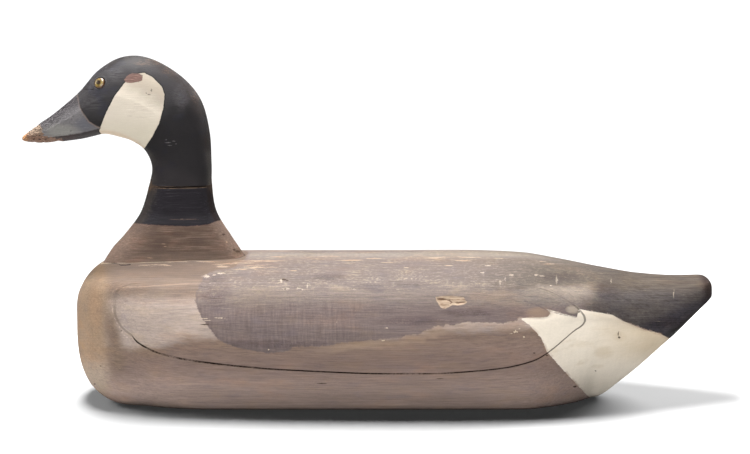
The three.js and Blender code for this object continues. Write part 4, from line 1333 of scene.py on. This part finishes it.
def neck_paint(name):
    """Brown below and black above, brushed along the plank's grain, rubbed on its edges, with painted light
    on its bevels.
    """
    p, at = Paint(name), NECK_AT
    grain = p.noise((46, 2.2, 1.4), detail=5, roughness=0.7)
    hair = p.noise((16, 0.9, 0.6), detail=3, roughness=0.65)
    blotch = p.noise((30, 24, 14), detail=4, roughness=0.6)
    ragged = p.noise(4, detail=4, roughness=0.65)
    speck = p.noise(1.1, detail=3, roughness=0.7)
    on_edge = p.ramp(p.plus(p.beside, (ragged, 5)), 21, 15.5)
    brown = p.over(BASE_BROWN, p.ramp(p.plus(grain, (blotch, 0.9)), -0.04, 0.26), BASE_PALE)
    # paler on the front and rear bevels, on the rounded edges and low down: painted light
    paler = p.math("MAXIMUM", p.ramp(p.across, *at.front, 0, 0.7), p.ramp(p.across, *at.heel, 0, 0.45))
    paler = p.math("MAXIMUM", paler, p.ramp(p.down, *at.foot, 0, 0.6))
    paler = p.math("MAXIMUM", paler, p.times(on_edge, 0.18))
    brown = p.over(brown, p.times(paler, p.ramp(blotch, -0.25, 0.1, 0.6, 1)), BASE_PALE)
    brown = p.tinted(brown, p.ramp(blotch, 0.0, 0.15), (1.05, 0.96, 0.93))
    brown = p.tinted(brown, p.ramp(p.plus(blotch, (grain, 0.4)), 0.0, -0.15), COOL)
    black = p.over(BASE_BLACK, p.ramp(p.plus(grain, (hair, 0.6)), 0.05, 0.32, 0, 0.6), BLACK_WORN)
    edge_tint = p.over(OLIVE_WORN, p.ramp(p.across, *at.middle), EDGE_BROWN)
    black = p.over(black, p.ramp(p.down, *at.black_foot, 0, 0.5), BLACK_FOOT)
    black = p.over(black, p.times(p.ramp(p.plus(p.beside, (ragged, 9)), 18, 13), 0.75), edge_tint)
    border = p.plus(p.kept("black"), (ragged, 2), (grain, 1.4))
    color = p.over(brown, p.ramp(border, -0.4, 0.4), black)
    color = p.tone(color, p.plus(1, (grain, 0.75), (hair, 0.5), (speck, 0.3)))
    joint = p.kept("joint")
    lip = p.times(p.ramp(joint, 1.9, 1.2), p.ramp(p.beside, 14, 18), p.ramp(hair, -0.1, 0.04, 0.2, 0.9))
    color = p.over(color, lip, JOINT_LIP)
    color = p.over(color, p.times(p.ramp(joint, 1.1, 0.8), p.ramp(p.beside, 12, 17, 0.2, 1)), CRACK)
    rubbed = p.ramp(p.plus(p.kept("joint"), (ragged, 14), (p.beside, 0.7)), 16, 9)
    rubbed = p.times(rubbed, p.ramp(p.beside, 19, 13), p.ramp(p.across, *at.middle, 0.6, 0.25))
    color = p.over(
        color,
        rubbed, RUBBED_BASE,
        p.times(p.spots(HEEL_STAIN, p.plus(blotch, ragged)), 0.55), HEEL_OLIVE,
        p.times(p.ramp(p.marks(NECK_DENTS, ragged), 0, 0.4), 0.8), DIRT_AND_SHADE,
    )
    pale = p.ramp(p.plus(p.marks(NECK_BARE, p.plus(hair, ragged)), (hair, 2)), 0.05, 0.45)
    color = p.over(color, p.times(pale, p.ramp(p.kept("black"), -2, 4, 0.7, 0.3)), ORANGE_WOOD)
    roughness = p.plus(0.66, (grain, 0.25), (blotch, 0.1))
    height = p.plus(p.times(grain, 0.9), (hair, 0.5), (speck, 0.3))
    return p.finish(color, roughness, height, depth=0.5)


HEAD_BLACK = srgb(28, 26, 27)
NECK_BLACK = srgb(35, 32, 33)
FACE_BLACK = srgb(48, 46, 47)
CROWN_GREY = srgb(42, 39, 38)
BILL_SLATE = srgb(98, 95, 96)
BILL_PALE = srgb(118, 116, 112)
BILL_DARK = srgb(52, 49, 51)
MOUTH_MAROON = srgb(50, 39, 38)
CHEEK_CREAM = srgb(198, 188, 173)
CHEEK_SHADE = srgb(186, 177, 160)
# painted shade for the cheek's top
CHEEK_TOP = srgb(158, 148, 134)
CHEEK_STAIN = srgb(176, 148, 120)
CHEEK_BARE = srgb(98, 75, 69)
TIP_BROWN = srgb(112, 88, 74)
TIP_TAN = srgb(116, 100, 86)
TIP_ORANGE = srgb(150, 110, 76)
# the grey of the rubs and of the painted sheen on the crown
RUB_AND_SHEEN_GREY = srgb(76, 73, 74)
SCUFF_GREY = srgb(96, 92, 92)
CROWN_BROWN = srgb(92, 74, 62)
BILL_STREAK = srgb(134, 130, 126)
MOUTH_DARK = srgb(44, 39, 38)
HAIRLINE_TAN = srgb(140, 126, 112)
NICK_GREY = srgb(92, 82, 76)
CHEEK_RIM = srgb(30, 28, 28)
BARE_LIGHT = srgb(124, 100, 90)
BARE_DARK = srgb(78, 56, 52)
FACE_LINE_TAN = srgb(112, 98, 90)
HOLE_BROWN = srgb(50, 34, 30)
SOCKET_BROWN = srgb(34, 28, 24)
RUBBED_HEAD = srgb(76, 60, 48)
# Where the head's tones pass into one another in the picture, in pixels across or down, or across a slant
HEAD_AT = SimpleNamespace(
    face=(146, 122), crown=(72, 58), nape=(72, 88), back=(120, 140), throat=(146, 156),
    bill_dark=(163, 150), mouth_corner=(66, 84), cheek_shade=(112, 134), cheek_top=(36, 14),
    face_line=(104, 119), tip_rows=(132, 137), tip_end=(30, 24), matt=(110, 140),
)
BILL_LIGHT_SPOT = [(62, 131, 22, 9)]
BILL_COOL_SPOT = [(86, 124, 14, 9)]
# grey rubs on the black; the spot on the crown is a painted sheen
GREY_RUBS_AND_SHEEN = [(181, 96, 10, 18), (117, 75, 11, 9), (92, 104, 12, 9)]
SATIN = [(116, 73, 12, 11)]
SCUFFS = [
    (168, 142.6, 4, 0.5), (173.6, 141.2, 2, 0.5), (170.4, 145.4, 3, 0.5), (176, 144, 1.6, 0.4),
    (166, 139.6, 2, 0.4),
]
CROWN_WEAR = [(150, 62.6, 24, 5), (172, 70, 16, 7), (196, 92, 8, 16)]
CHEEK_NICKS = [(151.6, 90.2, 0.9, 2.0), (149, 94.6, 1.6, 0.7), (146, 93, 0.8, 0.8), (141.4, 75.4, 2.0, 1.0)]
CHEEK_HAIRLINES = [
    (136, 104, 6, 0.35), (138, 107, 7, 0.3), (144, 110, 5, 0.5), (133, 112, 6, 0.3), (130, 116, 4, 0.4),
    (141, 117.6, 8, 0.3), (126, 104, 7, 0.25),
]
TIP_HOLES = [
    (34, 139, 1.8, 0.9), (39.2, 139.2, 1.6, 0.8), (39.6, 135.4, 0.8, 0.7), (27, 135.6, 1.5, 0.6),
    (31.6, 128.8, 1.6, 0.5),
]


def head_paint(name):
    """A black head and neck, a slate bill worn to the wood at its tip, and a cream patch on each cheek."""
    p, at = Paint(name), HEAD_AT
    across, down = p.across, p.down
    grain = p.noise((30, 1.8, 1.2), detail=5, roughness=0.7)
    hair = p.noise((9, 0.9, 0.5), detail=3, roughness=0.65)
    blotch = p.noise((20, 20, 14), detail=5, roughness=0.6)
    ragged = p.noise(3, detail=4, roughness=0.7)
    speck = p.noise(0.9, detail=3, roughness=0.7)
    black = p.over(
        HEAD_BLACK,
        p.ramp(p.plus(down, (blotch, 30), (across, 0.15)), *at.face), FACE_BLACK,
        p.ramp(p.plus(down, (blotch, 16), (grain, 14)), *at.crown), CROWN_GREY,
        p.ramp(p.plus(down, (across, -0.5), (blotch, 14)), *at.nape), NECK_BLACK,
    )
    # grey rubs, with a painted sheen on the crown
    rubs_and_sheen = p.times(p.spots(GREY_RUBS_AND_SHEEN, blotch), p.ramp(p.plus(grain, hair), -0.2, 0.1), 0.45)
    black = p.over(black, rubs_and_sheen, RUB_AND_SHEEN_GREY)
    scuffs = p.ramp(p.plus(p.marks(SCUFFS, ragged), (hair, 1.5)), 0, 0.5)
    black = p.over(black, p.times(scuffs, 0.6), SCUFF_GREY)
    black = p.tinted(black, p.ramp(blotch, -0.02, -0.16), (0.92, 0.95, 1.14))
    back = p.ramp(p.plus(p.beside, (ragged, 7)), 17, 9)
    back = p.times(back, p.ramp(p.plus(across, (down, -0.4)), *at.back))
    black = p.over(black, p.times(back, p.ramp(p.plus(grain, blotch), -0.14, 0.14, 0.25, 0.9)), EDGE_BROWN)
    front = p.times(p.ramp(p.plus(p.beside, (ragged, 8)), 17, 10), p.ramp(down, *at.throat))
    black = p.over(black, p.times(front, 0.7), OLIVE_WORN)
    worn = p.ramp(p.plus(grain, (hair, 0.7), (speck, 0.4)), -0.02, 0.14)
    worn = p.times(p.spots(CROWN_WEAR, p.plus(grain, blotch)), worn)
    black = p.over(black, p.times(worn, 0.7), CROWN_BROWN)
    bill = p.over(BILL_SLATE, p.spots(BILL_LIGHT_SPOT, blotch), BILL_PALE)
    bill = p.over(bill, p.ramp(p.plus(down, (across, 0.66), (blotch, 9)), *at.bill_dark), BILL_DARK)
    bill = p.tinted(bill, p.spots(BILL_COOL_SPOT), (0.84, 0.88, 0.96))
    bill = p.over(bill, p.ramp(p.plus(grain, (hair, 0.6)), 0.08, 0.3, 0, 0.6), BILL_STREAK)
    bill = p.over(bill, p.ramp(p.plus(ragged, (blotch, 0.8)), 0.1, 0.26, 0, 0.5), BILL_DARK)
    maroon = p.over(MOUTH_MAROON, p.ramp(across, *at.mouth_corner), MOUTH_DARK)
    bill = p.over(bill, p.times(p.ramp(p.plus(p.kept("lower_bill"), (ragged, 2)), -0.9, 0.6), 0.9), maroon)
    color = p.over(black, p.ramp(p.plus(p.kept("bill"), (ragged, 1.2)), -0.4, 0.4), bill)
    color = p.tone(color, p.plus(1, (grain, 0.42), (hair, 0.34), (blotch, 0.3), (speck, 0.2)))

    cheek = p.over(CHEEK_CREAM, p.ramp(p.plus(down, (blotch, 16)), *at.cheek_shade), CHEEK_SHADE)
    # darker towards the cheek's top: painted shade
    cheek = p.over(cheek, p.ramp(p.plus(down, (across, -0.5), (blotch, 14)), *at.cheek_top), CHEEK_TOP)
    throat = p.ramp(p.plus(p.beside, (blotch, 12)), 11, 6)
    cheek = p.over(cheek, p.times(throat, 0.45), CHEEK_STAIN)
    cheek = p.tone(cheek, p.plus(1, (grain, 0.14), (hair, 0.14), (blotch, 0.1), (speck, 0.07)))
    lines = p.ramp(p.plus(p.marks(CHEEK_HAIRLINES, ragged), (hair, 1.2)), 0.05, 0.5)
    cheek = p.over(cheek, p.times(lines, 0.4), HAIRLINE_TAN)
    cheek = p.over(cheek, p.times(p.ramp(p.marks(CHEEK_NICKS, ragged), 0, 0.4), 0.75), NICK_GREY)
    cheek_edge = p.plus(p.kept("cheek"), (ragged, 1.1), (speck, 0.6))
    color = p.over(color, p.near(cheek_edge, -0.4, 0.9, 0.4), CHEEK_RIM)
    color = p.over(color, p.ramp(cheek_edge, -0.3, 0.3), cheek)
    bare_edge = p.plus(p.kept("bare_cheek"), (ragged, 2.6), (hair, 2))
    bare = p.over(CHEEK_BARE, p.ramp(hair, -0.02, 0.16), BARE_LIGHT)
    bare = p.over(bare, p.ramp(hair, -0.06, -0.2), BARE_DARK)
    color = p.over(color, p.ramp(bare_edge, -0.3, 0.3), bare)

    face_line = p.ramp(p.plus(p.kept("face_line"), (speck, 1)), 1.1, 0.3)
    face_line = p.times(face_line, p.ramp(hair, -0.18, 0.05, 0.3, 0.8))
    color = p.over(color, p.times(face_line, p.ramp(down, *at.face_line, 0.45, 1)), FACE_LINE_TAN)
    color = p.over(color, p.times(p.ramp(p.kept("brow_crack"), 0.8, 0.2), 0.8), CRACK)
    tip_edge = p.plus(p.kept("tip"), (ragged, 10), (grain, 8))
    tip = p.over(
        TIP_TAN,
        p.ramp(p.plus(down, (ragged, 14)), *at.tip_rows), TIP_BROWN,
        p.ramp(p.plus(across, (ragged, 16)), *at.tip_end), TIP_ORANGE,
        p.ramp(p.plus(hair, (ragged, 0.8)), -0.06, -0.2), DIRT_AND_SHADE,
        p.ramp(p.plus(hair, (ragged, 0.5)), 0.14, 0.3, 0, 0.6), TIP_ORANGE,
        p.ramp(p.marks(TIP_HOLES, ragged), 0, 0.4), HOLE_BROWN,
    )
    color = p.over(color, p.ramp(tip_edge, -0.8, 0.8), tip)
    eye = p.kept("eye")
    color = p.over(color, p.ramp(eye, EYE_RADIUS + 1.3, EYE_RADIUS + 0.4), SOCKET_BROWN)
    color = p.over(color, p.times(p.ramp(p.kept("joint"), 0.9, 0.6), p.ramp(p.beside, 12, 17, 0.2, 1)), CRACK)
    rubbed = p.ramp(p.plus(p.kept("joint"), (ragged, 14), (p.beside, 0.7)), 14, 8)
    rubbed = p.times(rubbed, p.ramp(p.beside, 19, 13), p.ramp(across, *NECK_AT.middle, 0.6, 0.25))
    color = p.over(color, rubbed, RUBBED_HEAD)
    matt = p.math("MAXIMUM", p.ramp(p.kept("cheek"), -0.5, 0.5), p.ramp(down, *at.matt))
    satin = p.times(p.spots(SATIN, blotch), p.ramp(p.kept("cheek"), 0, -1))
    roughness = p.plus(0.5, (matt, 0.2), (grain, 0.3), (blotch, 0.25), (satin, -0.14))
    height = p.plus(p.times(grain, 0.7), (hair, 0.5), (speck, 0.25))
    return p.finish(color, roughness, height, depth=0.4, gloss=0.12)


IRIS = srgb(108, 90, 44)
IRIS_DARK = srgb(84, 66, 36)
PUPIL = srgb(34, 22, 11)
EYE_RIM = srgb(84, 58, 36)
PUPIL_SHARE = 0.47
PUPIL_OFFSET = (-0.35, 0, 0.1)


def glass_paint(name):
    """Painted glass: a dark pupil, a yellow iris and a red-brown rim, under a clear gloss."""
    p = Paint(name)
    out = p.plus(p.kept("from_pupil"), (p.noise(1.2, detail=3), 0.16))
    spokes = p.noise((1.6, 1.6, 0.9), detail=3)
    iris = p.over(IRIS, p.ramp(spokes, -0.02, 0.18), IRIS_DARK)
    color = p.over(PUPIL, p.ramp(out, PUPIL_SHARE - 0.14, PUPIL_SHARE + 0.1), iris)
    color = p.over(color, p.ramp(p.kept("from_axis"), 0.7, 0.98), EYE_RIM)
    p.shader.inputs["Coat Weight"].default_value = 0.5
    p.shader.inputs["Coat Roughness"].default_value = 0.06
    return p.finish(color, p.plus(0.3, (spokes, 0.1)), out, depth=0.05, gloss=0.5)


# What a vertex keeps for a place that it is nowhere near
FAR = 99


def keep_places(piece, **outlines):
    """Keeps where the vertices show, and how far each is inside the named outlines."""
    at = in_picture(points_of(piece))
    inside = {name: depth_inside(at, outline) for name, outline in outlines.items()}
    keep_values(piece, across=at[:, 0], down=at[:, 1], **inside)
    return at


# How dark the open seam shows below the ridge and above it, by the place in the picture from left to right
lower_seam_darkness = profile([(110, 0.2), (131, 0.35), (135, 1), (520, 0.95), (548, 0.8), (585, 0.7)])
upper_seam_darkness = profile([(110, 0.12), (262, 0.12), (300, 0.05), (568, 0.08), (577, 0.4), (585, 0.7)])


def seam_darkness(points, at):
    below = below_ridge(points, 5)
    return lower_seam_darkness(at[:, 0]) * below + upper_seam_darkness(at[:, 0]) * (1 - below)


def keep_body_places(piece):
    at = keep_places(piece, mantle=MANTLE_OUTLINE, rump=RUMP_OUTLINE)
    points = points_of(piece)
    high = points[:, 2] > BREAST_POINT_HEIGHT
    foot = np.where(high, -depth_inside(points[:, :2], foot_outline()), FAR)
    tail_edge = np.array(TAIL_UNDERSIDE_EDGE[::-1])
    is_scarred = piece is left_board
    splits = [distance_to_line(at, split) for split in SCAR_SPLITS]
    keep_values(
        piece,
        pale_line=distance_to_line(at, PALE_SEAM_LINE),
        foot_crack=distance_to_line(at, FOOT_CRACK),
        rump_line=distance_to_line(at, RUMP_LINE),
        foot=foot,
        tail_underside=at[:, 1] - np.interp(at[:, 0], tail_edge[:, 0], tail_edge[:, 1]),
        scar=depth_inside(at, SCAR_OUTLINE) if is_scarred else np.full(len(at), -FAR),
        scar_split=np.min(splits, axis=0),
        seam_dark=seam_darkness(points, at),
    )


def keep_neck_places(piece, **outlines):
    at = keep_places(piece, **outlines)
    border = np.array(NECK_PAINT_BORDER)
    keep_values(
        piece,
        black=np.interp(at[:, 0], border[:, 0], border[:, 1]) - at[:, 1],
        joint=np.abs((points_of(piece) - joint_middle) @ joint_normal),
    )
    return at


def keep_head_places():
    at = keep_neck_places(
        head,
        cheek=CHEEK_OUTLINE,
        bare_cheek=BARE_CHEEK_OUTLINE,
        bill=BILL_OUTLINE,
        lower_bill=LOWER_BILL_OUTLINE,
        tip=TIP_OUTLINE,
    )
    keep_values(
        head,
        face_line=distance_to_line(at, FACE_LINE),
        brow_crack=distance_to_line(at, BROW_CRACK),
        eye=np.minimum(eye_distance(points_of(head)), FAR),
    )


def keep_eye_places(piece, place, look):
    """How far each vertex is from the eye's axis, and from the pupil's, which lies a little forward."""
    offset = off_axis(points_of(piece), place, look)
    keep_places(piece)
    keep_values(
        piece,
        from_axis=np.linalg.norm(offset, axis=1) / EYE_RADIUS,
        from_pupil=np.linalg.norm(offset - PUPIL_OFFSET, axis=1) / EYE_RADIUS,
    )


for piece in (center_block, left_board, right_board):
    keep_body_places(piece)
keep_neck_places(neck_base)
keep_head_places()
keep_eye_places(left_eye, *eyes["eye_left"])
keep_eye_places(right_eye, *eyes["eye_right"])

body_finish = body_paint("body_paint")
finishes = {
    "painted_body": body_finish,
    "painted_side": body_finish,
    "eye_glass": glass_paint("eye_glass"),
    "painted_neck": neck_paint("neck_paint"),
    "painted_head": head_paint("head_paint"),
}
for piece, _, slot in PIECES:
    piece.data.materials.append(finishes[slot])


# The stage, the camera and the lights
FLOOR_SOLID_RADIUS = 0.6
FLOOR_FADED_RADIUS = 1.2
FLOOR_WHITE = (0.88, 0.88, 0.88, 1)
WHITE = (1, 1, 1, 1)
SURROUNDINGS_LIGHT, SURROUNDINGS_SHOWN = 0.02, 1.15


def make_floor():
    """A white disc that fades out into the white surroundings."""
    bm = bmesh.new()
    bmesh.ops.create_circle(bm, cap_ends=True, segments=96, radius=FLOOR_FADED_RADIUS)
    mesh = bpy.data.meshes.new("floor")
    bm.to_mesh(mesh)
    bm.free()
    floor = bpy.data.objects.new("floor", mesh)
    bpy.context.scene.collection.objects.link(floor)
    material = bpy.data.materials.new("pale_floor")
    nodes = Nodes(material)
    nodes.tree.nodes.clear()
    place = nodes.node("TexCoord").outputs["Object"]
    away = nodes.node("VectorMath", place, operation="LENGTH").outputs["Value"]
    reach = (FLOOR_SOLID_RADIUS, FLOOR_FADED_RADIUS)
    fade = nodes.node("MapRange", away, *reach, 0, 1, interpolation_type="SMOOTHSTEP").outputs[0]
    surface = nodes.blend(fade, nodes.node("BsdfDiffuse", FLOOR_WHITE), nodes.node("BsdfTransparent"))
    nodes.node("OutputMaterial", surface)
    floor.data.materials.append(material)


def make_surroundings():
    """Plain white all round, which lights the object more softly than it shows."""
    world = bpy.data.worlds.new("surroundings")
    nodes = Nodes(world)
    nodes.tree.nodes.clear()
    lighting = nodes.node("Background", WHITE, SURROUNDINGS_LIGHT)
    seen = nodes.node("Background", WHITE, SURROUNDINGS_SHOWN)
    surface = nodes.blend(nodes.node("LightPath").outputs["Is Camera Ray"], lighting, seen)
    nodes.node("OutputWorld", surface)
    bpy.context.scene.world = world


def make_camera():
    camera = bpy.data.objects.new("camera", bpy.data.cameras.new("camera"))
    camera.data.lens = CAMERA_LENS
    camera.data.sensor_width = CAMERA_SENSOR
    back = Vector((0, -math.cos(CAMERA_TILT), math.sin(CAMERA_TILT)))
    camera.location = (Vector(CAMERA_TARGET) + back * CAMERA_DISTANCE) * MM
    camera.rotation_euler = (math.pi / 2 - CAMERA_TILT, 0, 0)
    bpy.context.scene.collection.objects.link(camera)
    bpy.context.scene.camera = camera


def make_light(name, place, aim, size, power):
    light = bpy.data.lights.new(name, "AREA")
    light.shape = "RECTANGLE"
    light.size, light.size_y = size
    light.energy = power
    lamp = bpy.data.objects.new(name, light)
    lamp.location = place
    lamp.rotation_euler = (Vector(aim) - Vector(place)).to_track_quat("-Z", "Y").to_euler()
    bpy.context.scene.collection.objects.link(lamp)
    return lamp


bpy.context.scene.view_settings.view_transform = "Standard"
make_floor()
make_surroundings()
make_camera()
make_light("softbox_above", (-0.3, 0.05, 1.8), (0, 0, 0), (1.2, 0.4), 53)
right = make_light("softbox_right", (1.5, 0.7, 1.3), (0.2, 0, 0.1), (0.8, 0.8), 40)
left = make_light("softbox_left", (-1.7, 0.1, 1.1), (0, 0, 0.1), (0.8, 0.8), 12)
front = make_light("softbox_front", (-0.5, -2.0, 1.0), (0, 0, 0.12), (1.2, 0.8), 27)
back = make_light("softbox_back", (0.4, 2.0, 1.0), (0, 0, 0.12), (1.2, 0.8), 7)
low = make_light("softbox_low", (-0.2, -1.9, 0.25), (0, 0, 0.05), (1.6, 0.3), 8)

# These two leave the shadow dark, because their light is not followed through the decoy
for lamp in (right, left):
    lamp.data.cycles.use_multiple_importance_sampling = False

# These lights reach the decoy alone, and no brown light comes off the decoy into the shadow
decoy = bpy.data.collections.new("decoy")
for piece, _, _ in PIECES:
    decoy.objects.link(piece)
    piece.visible_diffuse = False
for lamp in (front, back, low):
    lamp.light_linking.receiver_collection = decoy
